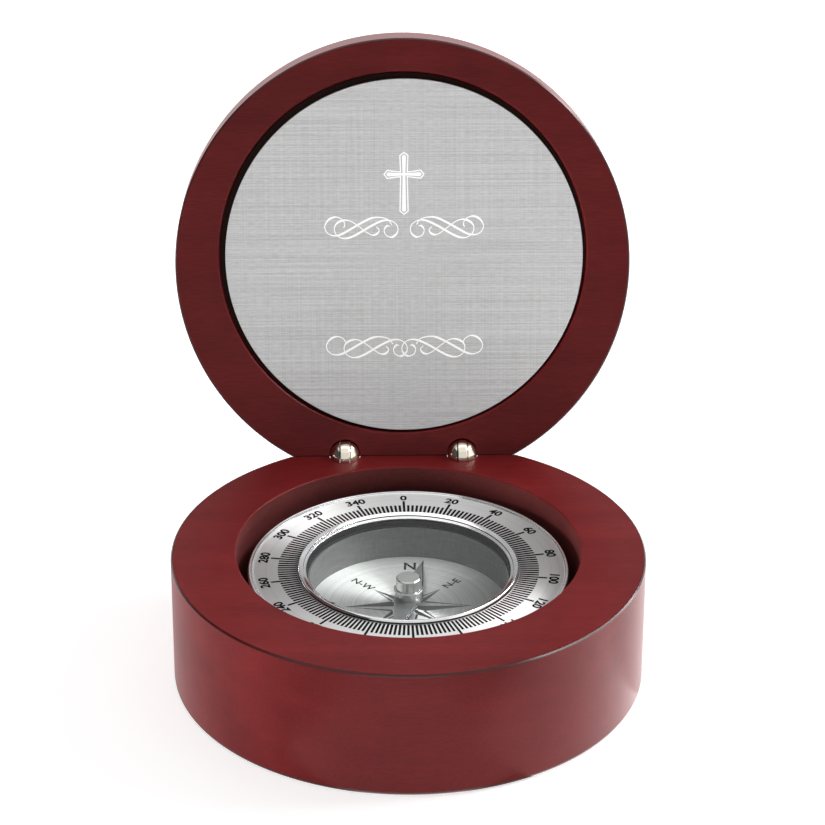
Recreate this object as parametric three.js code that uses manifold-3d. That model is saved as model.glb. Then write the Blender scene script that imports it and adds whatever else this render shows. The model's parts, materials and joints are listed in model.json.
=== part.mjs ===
// A round wooden desk compass: a turned base with a sunk compass, and a lid on two ball hinges.
// Millimetres, +Z up. The origin is the centre of the base's underside, and the hinges are at +Y.
// The model shows the box open, with the lid leaning back on its hinge stops.

import * as THREE from "three";
import { mergeVertices } from "three/addons/utils/BufferGeometryUtils.js";
import Module from "manifold-3d";

const wasm = await Module();
wasm.setup();

// Clearances
const FIT_GAP = 0.3; // round hinge shanks in their drilled holes
const GLUE_GAP = 0.2; // behind and beside what is stuck into the lid
const RUN_GAP = 0.2; // beside pieces that turn
const SEAT_GAP = 0.15; // beside round pieces that are pressed or dropped in

// Needle and its pivot
const NEEDLE_TIP_GAP = 3.6; // from the needle's tips to the wall of the well
const NEEDLE_WIDTH = 5.2;
const NEEDLE_THICKNESS = 0.4;
const NEEDLE_LIFT = 1.6; // underside of the needle above the card
const NEEDLE_BEARING = 13; // degrees clockwise from the card's north
const COLLAR_HEIGHT = 1.1;
const HUB_RADIUS = 2.15;
const HUB_HEIGHT = 2.8;
const HUB_CHAMFER = 0.2;
const HUB_RIM = 0.4; // how far the rim at the foot of the hub stands out
const HUB_RIM_HEIGHT = 0.6;
const HUB_CROWN = 0.6; // metal above the jewel
const HUB_BORE = 1.1;
const HUB_HEADROOM = 0.5; // between the hub and the crystal
const JEWEL_HEIGHT = 1;
const JEWEL_CUP = 0.5; // depth of the cone that rides on the pivot
const JEWEL_CUP_RADIUS = 0.6;
const PIVOT_RADIUS = 0.5;
const PIVOT_POINT = 0.9; // length of the pivot's cone
const PIVOT_GAP = 0.25; // between the pivot's point and the jewel
const PIVOT_BASE_RADIUS = 1.8;
const PIVOT_BASE_HEIGHT = 0.8;

// Compass capsule
const WELL_RADIUS = 17.2;
const LINER_WALL = 0.8;
const LINER_STEP = 0.15; // step round the top of the well
const LINER_STEP_HEIGHT = 0.7;
const CARD_THICKNESS = 0.6;
const GASKET_THICKNESS = 0.3;
const CRYSTAL_THICKNESS = 1.2;
const HOUSING_FLOOR = 1.2;
const HOUSING_WALL = 1.2;
const HOUSING_SET_IN = 1.2; // drum of the housing inside the rim of the degree ring
const NECK_WALL = 0.75;
const NECK_RISE = 0.25; // neck of the housing above the crystal
const BEZEL_OVERHANG = 0.3; // holds the degree ring down
const BEZEL_LIP = 0.4; // covers the edge of the crystal
const BEZEL_WALL = 0.25;
const BEZEL_DOME = 0.4;
const RING_RADIUS = 28;
const RING_HEIGHT = 3;
const RING_PLAY = 0.15; // under the bezel
const RING_LIP_WIDTH = 0.6;
const RING_LIP_HEIGHT = 0.25;
const KNURL_COUNT = 120;
const KNURL_DEPTH = 0.25;
const WASHER_THICKNESS = 0.3;
const WASHER_MARGIN = 0.8; // washer outside the bore of the degree ring
const WASHER_WIDTH = 4;
const PAD_THICKNESS = 0.8;
const PAD_MARGIN = 1; // pad inside the edge of the housing

// Wooden base
const BASE_FLOOR = 9.6; // wood under the compass
const DIAL_SINK = 3.6; // degree ring below the top of the base
const DIAL_SETBACK = 0.3; // compass behind the centre of the box
const RECESS_SETBACK = 1; // recess behind the centre of the box
const RING_CLEARANCE = 2; // recess round the degree ring
const RIM_WIDTH = 11.25; // wood beside the recess
const RECESS_ROUND = 0.5;
const EDGE_ROUND = 0.8;

// Wooden lid and its plate
const LID_THICKNESS = 8.4;
const LID_LEAN = 13; // degrees past upright
const LID_GAP = 0.3; // between base and lid when shut
const LID_FAR_RIM = 6.2; // wood between the plate's recess and the far edge
const LID_HINGE_RIM = 4.2; // wood between the plate's recess and the hinges
const PLATE_GAP = 0.85;
const PLATE_DROP = 0.4; // plate nearer the hinges than its recess
const PLATE_SHIFT = 0.25; // plate to the right of its recess
const PLATE_INSET = 0.2; // face of the plate below the wood
const PLATE_THICKNESS = 0.8;
const PLATE_PAD_THICKNESS = 0.6;

// Ball hinges
const HINGE_SPACING = 21.5;
const BALL_RADIUS = 2.75;
const POCKET_GAP = 0.45; // round the ball, in the wood
const SHANK_LENGTH = 5;
const SHANK_COVER = 1.136; // wood between the hinge holes and the recess
const TONGUE_WIDTH = 1.6;
const SLIT = 0.2; // beside the tongue
const HINGE_PIN_RADIUS = 0.6;
const HINGE_PIN_INSET = 0.1; // ends of the pin below the ball

// Facets of round pieces
const WIDE_STEPS = 64;
const SMALL_STEPS = 24;
const ARC_STEPS = 5;
const EDGE_STEPS = 2;
const WELD = 1e-4;

// Radii of the capsule, from the well outwards
const linerRadius = WELL_RADIUS + LINER_WALL;
const housingBore = linerRadius + SEAT_GAP;
const neckRadius = housingBore + NECK_WALL;
const ringBore = neckRadius + RUN_GAP;
const bezelRadius = ringBore + BEZEL_OVERHANG;
const bezelOpening = linerRadius - BEZEL_LIP;
const drumRadius = RING_RADIUS - HOUSING_SET_IN;

// Levels of the capsule, from the wood upwards
const housingBottom = BASE_FLOOR + PAD_THICKNESS;
const cardBottom = housingBottom + HOUSING_FLOOR;
const cardTop = cardBottom + CARD_THICKNESS;
const needleBottom = cardTop + NEEDLE_LIFT;
const needleTop = needleBottom + NEEDLE_THICKNESS;
const hubBottom = needleTop + COLLAR_HEIGHT;
const hubTop = hubBottom + HUB_HEIGHT;
const crystalBottom = hubTop + HUB_HEADROOM;
const crystalTop = crystalBottom + CRYSTAL_THICKNESS;
const linerTop = crystalBottom - GASKET_THICKNESS;
const neckTop = crystalTop + NECK_RISE;
const ringTop = neckTop - RING_PLAY;
const ringBottom = ringTop - RING_HEIGHT;
const shoulder = ringBottom - WASHER_THICKNESS;

// Places in the wood
const baseHeight = ringTop + DIAL_SINK;
const recessRadius = RING_RADIUS + RING_CLEARANCE;
const boxRadius = recessRadius + RIM_WIDTH;
const shankRadius = BALL_RADIUS * Math.SQRT1_2; // meets the ball where it leaves the wood
const hingeX = HINGE_SPACING / 2;
const shankReach = (SHANK_LENGTH + shankRadius + 2 * FIT_GAP) * Math.SQRT1_2;
const hingeFlat =
  RECESS_SETBACK + Math.sqrt(recessRadius ** 2 - hingeX ** 2) + shankReach + SHANK_COVER;
const hingeLevel = baseHeight + LID_GAP / 2;
const plateRecess = (boxRadius + hingeFlat - LID_FAR_RIM - LID_HINGE_RIM) / 2;
const plateRecessY = -(LID_HINGE_RIM + plateRecess);
const plateRecessDepth = PLATE_INSET + PLATE_THICKNESS + PLATE_PAD_THICKNESS + 2 * GLUE_GAP;

// Turns a geometry into a solid that can be cut and joined.
function solid(geometry) {
  const bare = geometry.clone();
  bare.deleteAttribute("normal");
  bare.deleteAttribute("uv");
  const merged = mergeVertices(bare, WELD);
  return new wasm.Manifold(
    new wasm.Mesh({
      numProp: 3,
      vertProperties: new Float32Array(merged.attributes.position.array),
      triVerts: new Uint32Array(merged.index.array),
    }),
  );
}

// Turns a cut or joined solid back into a geometry.
function toGeometry(body) {
  const mesh = body.getMesh();
  const geometry = new THREE.BufferGeometry();
  geometry.setAttribute("position", new THREE.BufferAttribute(mesh.vertProperties, 3));
  geometry.setIndex(new THREE.BufferAttribute(mesh.triVerts, 1));
  geometry.computeVertexNormals();
  return geometry;
}

// A solid of revolution about Z: [radius, height] points from the axis, anticlockwise, back to the axis.
function turned(profile, steps = WIDE_STEPS) {
  const points = profile.map(([radius, height]) => new THREE.Vector2(radius, height));
  return new THREE.LatheGeometry(points, steps).rotateX(Math.PI / 2);
}

// A solid of revolution whose profile closes on itself away from the axis.
function turnedRing(profile, steps = WIDE_STEPS) {
  return turned([...profile, profile[0]], steps);
}

function disc(radius, bottom, top, steps = WIDE_STEPS) {
  return turned([[0, bottom], [radius, bottom], [radius, top], [0, top]], steps);
}

function flatRing(inner, outer, bottom, top, steps = WIDE_STEPS) {
  return turnedRing([[inner, bottom], [outer, bottom], [outer, top], [inner, top]], steps);
}

// Points on part of an ellipse, angles in radians from the outward direction.
function arc(radius, height, reach, rise, from, to, steps = ARC_STEPS) {
  return Array.from({ length: steps + 1 }, (_, i) => {
    const angle = from + ((to - from) * i) / steps;
    return [radius + reach * Math.cos(angle), height + rise * Math.sin(angle)];
  });
}

// A turned slab of wood with rounded edges, standing on z = 0 and sawn flat at +Y.
function woodSlab(thickness) {
  const reach = boxRadius - EDGE_ROUND;
  const slab = turned([
    [0, 0],
    ...arc(reach, EDGE_ROUND, EDGE_ROUND, EDGE_ROUND, -Math.PI / 2, 0, EDGE_STEPS),
    ...arc(reach, thickness - EDGE_ROUND, EDGE_ROUND, EDGE_ROUND, 0, Math.PI / 2, EDGE_STEPS),
    [0, thickness],
  ]);
  return solid(slab).trimByPlane([0, -1, 0], -hingeFlat);
}

// The round shank of a hinge half, pointing down from the centre of the ball.
function shankSolid(radius, from, to) {
  return solid(disc(radius, -to, -from, SMALL_STEPS));
}

// The pocket for a ball and the hole for its shank, turned about the hinge axis to its place in the wood.
function hingePocket(x, turn) {
  const ball = solid(new THREE.SphereGeometry(BALL_RADIUS + POCKET_GAP, SMALL_STEPS, SMALL_STEPS / 2));
  const hole = shankSolid(shankRadius + FIT_GAP, 0, SHANK_LENGTH + FIT_GAP);
  const place = new THREE.Matrix4().makeRotationX(turn).setPosition(x, 0, 0);
  return solid(toGeometry(ball.add(hole)).applyMatrix4(place));
}

const baseShankTurn = -Math.PI / 4; // into the base, down and forward
const lidShankTurn = (-3 * Math.PI) / 4; // into the shut lid, up and forward

function baseBody() {
  const recess = turned([
    [0, BASE_FLOOR],
    [recessRadius, BASE_FLOOR],
    ...arc(
      recessRadius + RECESS_ROUND, baseHeight - RECESS_ROUND,
      RECESS_ROUND, RECESS_ROUND, Math.PI, Math.PI / 2, EDGE_STEPS,
    ),
    [recessRadius + RECESS_ROUND, baseHeight + RECESS_ROUND],
    [0, baseHeight + RECESS_ROUND],
  ]).translate(0, RECESS_SETBACK, 0);
  let body = woodSlab(baseHeight).subtract(solid(recess));
  for (const x of [-hingeX, hingeX]) {
    const pocket = toGeometry(hingePocket(x, baseShankTurn)).translate(0, hingeFlat, hingeLevel);
    body = body.subtract(solid(pocket));
  }
  return toGeometry(body);
}

// The lid is drawn shut, with the hinge axis as its origin.
function lidBody() {
  const slab = woodSlab(LID_THICKNESS).translate(0, -hingeFlat, LID_GAP / 2);
  const recess = disc(plateRecess, 0, LID_GAP / 2 + plateRecessDepth).translate(0, plateRecessY, 0);
  let body = slab.subtract(solid(recess));
  for (const x of [-hingeX, hingeX]) {
    body = body.subtract(hingePocket(x, lidShankTurn));
  }
  return toGeometry(body);
}

function lidPlate() {
  const bottom = LID_GAP / 2 + PLATE_INSET;
  return disc(plateRecess - PLATE_GAP, bottom, bottom + PLATE_THICKNESS)
    .translate(PLATE_SHIFT, plateRecessY + PLATE_DROP, 0);
}

function lidPlatePad() {
  const bottom = LID_GAP / 2 + PLATE_INSET + PLATE_THICKNESS + GLUE_GAP;
  return disc(plateRecess - GLUE_GAP, bottom, bottom + PLATE_PAD_THICKNESS)
    .translate(0, plateRecessY, 0);
}

// The hinge ball, turned about the hinge axis X, with the pin's bore through it.
function ballSolid() {
  const bore = HINGE_PIN_RADIUS + RUN_GAP;
  const end = Math.acos(bore / BALL_RADIUS);
  const profile = arc(0, 0, BALL_RADIUS, BALL_RADIUS, -end, end, 2 * ARC_STEPS);
  return solid(turnedRing(profile, SMALL_STEPS).rotateY(Math.PI / 2));
}

function pinBore() {
  const bore = HINGE_PIN_RADIUS + RUN_GAP;
  return solid(disc(bore, -BALL_RADIUS, BALL_RADIUS, SMALL_STEPS).rotateY(Math.PI / 2));
}

// A slab across the ball, square to the hinge axis, from the given depth in the shank upwards.
function acrossBall(width, depth) {
  const height = depth + 2 * BALL_RADIUS;
  const slab = new THREE.BoxGeometry(width, 4 * BALL_RADIUS, height);
  return solid(slab.translate(0, 0, height / 2 - depth));
}

const slotDepth = BALL_RADIUS + SLIT;

// Base half: two cheeks with a slot for the tongue, on one shank.
function hingeFork() {
  const slot = acrossBall(TONGUE_WIDTH + 2 * SLIT, slotDepth);
  const body = ballSolid().add(shankSolid(shankRadius, 0, SHANK_LENGTH));
  return toGeometry(body.subtract(slot).subtract(pinBore()));
}

// Lid half: the tongue between the cheeks, on a shank that starts below them.
function hingeTongue() {
  const tongue = ballSolid().add(shankSolid(shankRadius, 0, SHANK_LENGTH));
  const blade = tongue.intersect(acrossBall(TONGUE_WIDTH, SHANK_LENGTH));
  const stem = shankSolid(shankRadius, slotDepth, SHANK_LENGTH);
  return toGeometry(blade.add(stem).subtract(pinBore()));
}

function hingePin() {
  const bore = HINGE_PIN_RADIUS + RUN_GAP;
  const half = Math.sqrt(BALL_RADIUS ** 2 - bore ** 2) - HINGE_PIN_INSET;
  return disc(HINGE_PIN_RADIUS, -half, half, SMALL_STEPS).rotateY(Math.PI / 2);
}

// Moulded cup with a wide hollow drum that carries the degree ring on its shoulder.
function compassHousing() {
  const hollowInner = housingBore + HOUSING_WALL;
  const hollowOuter = drumRadius - HOUSING_WALL;
  return turned([
    [0, housingBottom],
    [hollowInner, housingBottom],
    [hollowInner, shoulder - HOUSING_WALL],
    [hollowOuter, shoulder - HOUSING_WALL],
    [hollowOuter, housingBottom],
    [drumRadius, housingBottom],
    [drumRadius, shoulder],
    [neckRadius, shoulder],
    [neckRadius, neckTop],
    [housingBore, neckTop],
    [housingBore, cardBottom],
    [0, cardBottom],
  ]);
}

function wellLiner() {
  const stepLevel = linerTop - LINER_STEP_HEIGHT;
  return turnedRing([
    [WELL_RADIUS, cardTop],
    [linerRadius, cardTop],
    [linerRadius, linerTop],
    [WELL_RADIUS + LINER_STEP, linerTop],
    [WELL_RADIUS + LINER_STEP, stepLevel],
    [WELL_RADIUS, stepLevel],
  ]);
}

// Polished ring with a domed crest, a lip over the crystal and a foot over the degree ring.
function crystalBezel() {
  const middle = (bezelRadius + bezelOpening) / 2;
  const reach = (bezelRadius - bezelOpening) / 2;
  return turnedRing([
    [bezelOpening, crystalTop],
    [linerRadius, crystalTop],
    [linerRadius, neckTop],
    [bezelRadius, neckTop],
    ...arc(middle, neckTop + BEZEL_WALL, reach, BEZEL_DOME, 0, Math.PI),
  ]);
}

// Degree ring with a coin edge and a raised lip round its rim.
function degreeRing() {
  const rim = Array.from({ length: 2 * KNURL_COUNT }, (_, i) => {
    const angle = (i * Math.PI) / KNURL_COUNT;
    const radius = RING_RADIUS - (i % 2) * KNURL_DEPTH;
    return new THREE.Vector2(radius * Math.cos(angle), radius * Math.sin(angle));
  });
  const slab = new THREE.ExtrudeGeometry(new THREE.Shape(rim), { depth: RING_HEIGHT, bevelEnabled: false });
  const lipRadius = RING_RADIUS - KNURL_DEPTH;
  const lip = flatRing(
    lipRadius - RING_LIP_WIDTH, lipRadius, ringTop - RING_LIP_HEIGHT, ringTop + RING_LIP_HEIGHT,
  );
  const bore = disc(ringBore, ringBottom - RING_HEIGHT, ringTop + RING_HEIGHT);
  const body = solid(slab.translate(0, 0, ringBottom)).add(solid(lip)).subtract(solid(bore));
  return toGeometry(body);
}

function needleBlade() {
  const reach = WELL_RADIUS - NEEDLE_TIP_GAP;
  const outline = new THREE.Shape([
    new THREE.Vector2(0, reach),
    new THREE.Vector2(-NEEDLE_WIDTH / 2, 0),
    new THREE.Vector2(0, -reach),
    new THREE.Vector2(NEEDLE_WIDTH / 2, 0),
  ]);
  outline.holes.push(new THREE.Path().absarc(0, 0, HUB_BORE, 0, 2 * Math.PI, true));
  const blade = new THREE.ExtrudeGeometry(outline, {
    depth: NEEDLE_THICKNESS,
    bevelEnabled: false,
    curveSegments: SMALL_STEPS / 2,
  });
  return blade.translate(0, 0, needleBottom);
}

const jewelTop = hubTop - HUB_CROWN;
const jewelBottom = jewelTop - JEWEL_HEIGHT;

// Polished cap with a rim at its foot, bored from below for the jewel and the pivot.
function needleHub() {
  return turned([
    [0, jewelTop],
    [HUB_BORE, jewelTop],
    [HUB_BORE, hubBottom],
    [HUB_RADIUS + HUB_RIM, hubBottom],
    [HUB_RADIUS + HUB_RIM, hubBottom + HUB_RIM_HEIGHT],
    [HUB_RADIUS, hubBottom + HUB_RIM_HEIGHT],
    [HUB_RADIUS, hubTop - HUB_CHAMFER],
    [HUB_RADIUS - HUB_CHAMFER, hubTop],
    [0, hubTop],
  ], SMALL_STEPS);
}

function needleJewel() {
  return turned([
    [0, jewelBottom + JEWEL_CUP],
    [JEWEL_CUP_RADIUS, jewelBottom],
    [HUB_BORE - SEAT_GAP, jewelBottom],
    [HUB_BORE - SEAT_GAP, jewelTop],
    [0, jewelTop],
  ], SMALL_STEPS);
}

function pivotPin() {
  const tip = jewelBottom + JEWEL_CUP - PIVOT_GAP;
  return turned([
    [0, cardTop],
    [PIVOT_RADIUS, cardTop],
    [PIVOT_RADIUS, tip - PIVOT_POINT],
    [0, tip],
  ], SMALL_STEPS);
}

function pivotBase() {
  const foot = cardTop + PIVOT_BASE_HEIGHT / 2;
  const step = (PIVOT_BASE_RADIUS + PIVOT_RADIUS) / 2;
  return turnedRing([
    [PIVOT_RADIUS + SEAT_GAP, cardTop],
    [PIVOT_BASE_RADIUS, cardTop],
    [PIVOT_BASE_RADIUS, foot],
    [step, cardTop + PIVOT_BASE_HEIGHT],
    [PIVOT_RADIUS + SEAT_GAP, cardTop + PIVOT_BASE_HEIGHT],
  ], SMALL_STEPS);
}

// Finishes: colour, roughness and metalness.
const finishes = {
  wood: { color: 0x6a2224, roughness: 0.35, metalness: 0 },
  brushedPlate: { color: 0xc2c2c0, roughness: 0.4, metalness: 0.9 },
  blackFoam: { color: 0x161414, roughness: 0.95, metalness: 0 },
  nickel: { color: 0xd8d2c4, roughness: 0.12, metalness: 1 },
  blackPlastic: { color: 0x222222, roughness: 0.6, metalness: 0 },
  nylon: { color: 0xe6e2d8, roughness: 0.5, metalness: 0 },
  satinSilver: { color: 0xc8c8c6, roughness: 0.35, metalness: 0.9 },
  chrome: { color: 0xe4e4e4, roughness: 0.05, metalness: 1 },
  glass: { color: 0xf2f6f6, roughness: 0.02, metalness: 0, transparent: true, opacity: 0.25 },
  rubber: { color: 0x101010, roughness: 0.9, metalness: 0 },
  brushedGrey: { color: 0x6c6c6c, roughness: 0.4, metalness: 0.9 },
  turnedSilver: { color: 0xd0d0ce, roughness: 0.3, metalness: 0.9 },
  brass: { color: 0xb89a58, roughness: 0.3, metalness: 1 },
  steel: { color: 0xb4b6b8, roughness: 0.15, metalness: 1 },
  jewel: { color: 0xb03a48, roughness: 0.05, metalness: 0 },
};

function addPiece(parent, name, geometry, finish) {
  const mesh = new THREE.Mesh(geometry, new THREE.MeshStandardMaterial(finishes[finish]));
  mesh.name = name;
  parent.add(mesh);
  return mesh;
}

const compassBox = new THREE.Group();
addPiece(compassBox, "base_body", baseBody(), "wood");

const capsule = new THREE.Group();
capsule.position.y = DIAL_SETBACK;
compassBox.add(capsule);
addPiece(capsule, "compass_pad", disc(drumRadius - PAD_MARGIN, BASE_FLOOR, housingBottom), "blackFoam");
addPiece(capsule, "compass_housing", compassHousing(), "blackPlastic");
addPiece(capsule, "compass_card", disc(linerRadius, cardBottom, cardTop), "turnedSilver");
addPiece(capsule, "well_liner", wellLiner(), "brushedGrey");
addPiece(
  capsule, "crystal_gasket",
  flatRing(WELL_RADIUS + LINER_STEP, linerRadius, linerTop, crystalBottom), "rubber",
);
addPiece(capsule, "crystal", disc(linerRadius, crystalBottom, crystalTop), "glass");
addPiece(capsule, "crystal_bezel", crystalBezel(), "chrome");
const washerBore = ringBore + WASHER_MARGIN;
addPiece(
  capsule, "ring_washer",
  flatRing(washerBore, washerBore + WASHER_WIDTH, shoulder, ringBottom), "nylon",
);
addPiece(capsule, "degree_ring", degreeRing(), "satinSilver");
addPiece(capsule, "pivot_base", pivotBase(), "brass");
addPiece(capsule, "pivot_pin", pivotPin(), "steel");

const needle = new THREE.Group();
needle.rotation.z = THREE.MathUtils.degToRad(-NEEDLE_BEARING);
capsule.add(needle);
addPiece(needle, "needle_blade", needleBlade(), "steel");
addPiece(
  needle, "needle_collar",
  flatRing(HUB_BORE, HUB_RADIUS, needleTop, hubBottom, SMALL_STEPS), "nickel",
);
addPiece(needle, "needle_hub", needleHub(), "nickel");
addPiece(needle, "needle_jewel", needleJewel(), "jewel");

const hingeAxis = new THREE.Group();
hingeAxis.position.set(0, hingeFlat, hingeLevel);
compassBox.add(hingeAxis);
const lid = new THREE.Group();
lid.rotation.x = -THREE.MathUtils.degToRad(90 + LID_LEAN);
hingeAxis.add(lid);
addPiece(lid, "lid_body", lidBody(), "wood");
addPiece(lid, "lid_plate_pad", lidPlatePad(), "blackFoam");
addPiece(lid, "lid_plate", lidPlate(), "brushedPlate");

for (const [side, x] of [["left", -hingeX], ["right", hingeX]]) {
  const fork = addPiece(hingeAxis, `hinge_fork_${side}`, hingeFork(), "nickel");
  fork.position.x = x;
  fork.rotation.x = baseShankTurn;
  const tongue = addPiece(lid, `hinge_tongue_${side}`, hingeTongue(), "nickel");
  tongue.position.x = x;
  tongue.rotation.x = lidShankTurn;
  const pin = addPiece(hingeAxis, `hinge_pin_${side}`, hingePin(), "steel");
  pin.position.x = x;
}

export default compassBox;
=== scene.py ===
"""A round wooden desk compass: surfaces and finishes for every piece, built around the packed model."""

import json
import math

import bmesh
import bpy
import numpy as np
from bpy.props import FloatProperty, FloatVectorProperty, IntProperty, PointerProperty
from mathutils import Matrix, Vector


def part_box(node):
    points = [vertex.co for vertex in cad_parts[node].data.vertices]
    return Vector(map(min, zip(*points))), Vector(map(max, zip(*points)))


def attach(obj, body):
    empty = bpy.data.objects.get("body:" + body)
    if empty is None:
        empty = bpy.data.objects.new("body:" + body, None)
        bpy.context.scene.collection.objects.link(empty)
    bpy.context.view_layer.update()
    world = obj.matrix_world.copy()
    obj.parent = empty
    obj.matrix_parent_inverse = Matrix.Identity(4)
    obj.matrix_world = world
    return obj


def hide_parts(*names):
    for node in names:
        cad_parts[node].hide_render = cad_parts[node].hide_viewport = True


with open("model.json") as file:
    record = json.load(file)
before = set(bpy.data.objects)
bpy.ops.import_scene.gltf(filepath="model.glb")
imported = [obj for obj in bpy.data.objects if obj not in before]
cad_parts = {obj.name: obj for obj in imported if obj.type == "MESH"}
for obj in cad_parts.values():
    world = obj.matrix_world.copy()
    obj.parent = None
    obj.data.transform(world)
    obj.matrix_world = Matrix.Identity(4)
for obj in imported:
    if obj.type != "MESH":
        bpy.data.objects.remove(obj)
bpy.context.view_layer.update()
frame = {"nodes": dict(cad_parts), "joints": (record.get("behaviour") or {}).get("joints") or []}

bl_info = {
    "name": "Desk compass",
    "version": (1, 0, 0),
    "blender": (4, 5, 0),
    "location": "View3D > Sidebar > Compass",
    "description": "Builds the surfaces and finishes of a round wooden desk compass",
    "category": "Object",
}

MM = 0.001
# Distance under which two points are one.
MERGE = 1e-7
# Steps round a wide piece, a small piece, a corner and a corner too small to show its round.
WIDE_STEPS = 256
SMALL_STEPS = 64
ROUND_STEPS = 5
CHAMFER_STEPS = 3
# Turn between two faces past which their edge looks sharp.
CREASE = math.radians(32)
RIGHT_ANGLE = math.pi / 2
TURN = 2 * math.pi


def linear(code):
    """The linear colour of an sRGB hex value."""
    srgb = np.array([int(code[i : i + 2], 16) for i in (0, 2, 4)]) / 255
    return tuple(np.where(srgb <= 0.04045, srgb / 12.92, ((srgb + 0.055) / 1.055) ** 2.4))


def length(name, description, millimetres):
    """A size that a user can change, in metres with a default in millimetres."""
    return FloatProperty(
        name=name, description=description, default=millimetres * MM, precision=5, unit="LENGTH"
    )


def swing(name, description, degrees):
    """An angle that a user can change, with a default in degrees."""
    return FloatProperty(name=name, description=description, default=math.radians(degrees), subtype="ANGLE")


def tint(name, description, code):
    """A colour that a user can change, with an sRGB hex default."""
    return FloatVectorProperty(
        name=name, description=description, default=linear(code), size=3, min=0, max=1, subtype="COLOR"
    )


# Places that come from the packed model


def middle(node):
    """Centre of a CAD node's box."""
    low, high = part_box(node)
    return (low + high) / 2


def radius(node):
    """Half the width of a CAD node."""
    low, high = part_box(node)
    return (high.x - low.x) / 2


def bottom(node):
    """Lowest level of a CAD node."""
    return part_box(node)[0].z


def top(node):
    """Highest level of a CAD node."""
    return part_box(node)[1].z


HINGE = next(joint for joint in frame["joints"] if joint["name"] == "lid_hinge")
HINGE_POINT = Vector(HINGE["pos_m"])
LID_TURN = math.radians(HINGE["range_deg"][1])
DIAL = middle("degree_ring").to_2d().to_3d()
DIAL_XY = np.array(DIAL[:2])

# Lid frame: x to the left, y along the lid to the hinges and z out of its inner face, from the hinge axis.
LID = (
    Matrix.Translation(HINGE_POINT)
    @ Matrix.Rotation(-LID_TURN, 4, "X")
    @ Matrix.Rotation(math.pi, 4, "Y")
)


def points_of(mesh):
    """The points of a mesh (n, xyz)."""
    points = np.empty(len(mesh.vertices) * 3)
    mesh.vertices.foreach_get("co", points)
    return points.reshape(-1, 3)


def lid_box(node):
    """(lowest corner, highest corner) of a CAD node on the lid, in the lid's frame."""
    local = moved(points_of(frame["nodes"][node].data), LID.inverted())
    return local.min(axis=0), local.max(axis=0)


# Sizes and colours


class WoodSettings(bpy.types.PropertyGroup):
    """The turned base and lid."""

    edge_round: length("Edge round", "Radius of the edges under the base and on top of the lid", 0.8)
    rim_round: length("Rim round", "Width of the broken edges that meet when the lid is shut", 0.38)
    sanding: length("Sanding", "What sanding takes off the side of the base", 0.02)
    lid_sanding: length("Lid sanding", "What sanding takes off the side of the lid", 0.14)
    corner_round: length("Corner round", "Radius of the corners beside the hinges", 0.2)
    saw_edge: length("Saw edge", "Break of the base's sawn edge at the hinges", 0.04)
    lid_saw_edge: length("Lid saw edge", "Break of the lid's sawn edge at the hinges", 0.3)
    lid_overrun: length("Lid overrun", "Sawn flat of the lid past the hinge axis", 0.3)
    recess_round: length("Recess round", "Radius of the edge of the dial recess", 0.3)
    recess_setback: length("Recess setback", "Dial recess behind the centre of the box", 1.0)
    ring_clearance: length("Ring clearance", "Dial recess round the degree ring", 2.0)
    plate_edge: length("Plate edge", "Radius of the edge of the plate recess", 0.5)
    glue_gap: length("Glue gap", "Wood behind and beside the plate's pad", 0.2)
    stain: tint("Stain", "Deep colour of the stained wood", "681719")
    glow: tint("Glow", "Lighter figure of the stained wood", "8A2829")
    # Edge shade: a darker colour painted on the broken edges as shade, a dark line along the rims and a
    # contact shadow at the foot.
    edge_stain: tint("Edge shade", "Stain that gathers on the edges", "45090B")
    bare_stain: tint("Bare stain", "Browner stain in the routed recess", "5E2C2B")


class PlateSettings(bpy.types.PropertyGroup):
    """The engraved plate in the lid."""

    chamfer: length("Chamfer", "Bright chamfer round the plate", 0.12)
    engraving: length("Engraving", "Height of the frosted marks", 0.02)
    cross_level: length("Cross level", "Crossing of the cross above the plate's centre", 15.05)
    cross_line: length("Cross line", "Width of the line round the cross", 0.2)
    upper_scroll: length("Upper scroll", "Level of the scroll under the cross", 5.35)
    lower_scroll: length("Lower scroll", "Level of the lower scroll", -16.7)
    hairline: length("Hairline", "Thinnest stroke of the scrolls", 0.16)
    swell: length("Swell", "What the thick strokes add to the hairline", 0.22)
    metal: tint("Metal", "Brushed aluminium", "BDBDBD")
    frost: tint("Frost", "Engraved marks", "FFFFFF")


class HingeSettings(bpy.types.PropertyGroup):
    """The two ball hinges."""

    ball: length("Ball", "Radius of the hinge balls", 2.75)
    pocket_gap: length("Pocket gap", "Gap round the balls, in the wood", 0.05)
    pocket_lift: length("Pocket lift", "Pockets of the lid above the balls' centres", 0.2)
    shank: length("Shank", "Radius of the shanks in the wood", 1.3)
    shank_depth: length("Shank depth", "Length of the shanks from the ball's centre", 5.0)
    tongue: length("Tongue", "Width of the tongue between the cheeks", 1.76)
    slit: length("Slit", "Gap on each side of the tongue", 0.06)
    bore: length("Bore", "Radius of the bore for the pin", 0.62)
    edge: length("Edge", "Round of the cheeks' edges", 0.08)
    metal: tint("Metal", "Polished nickel plate", "DAD2C2")


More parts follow.
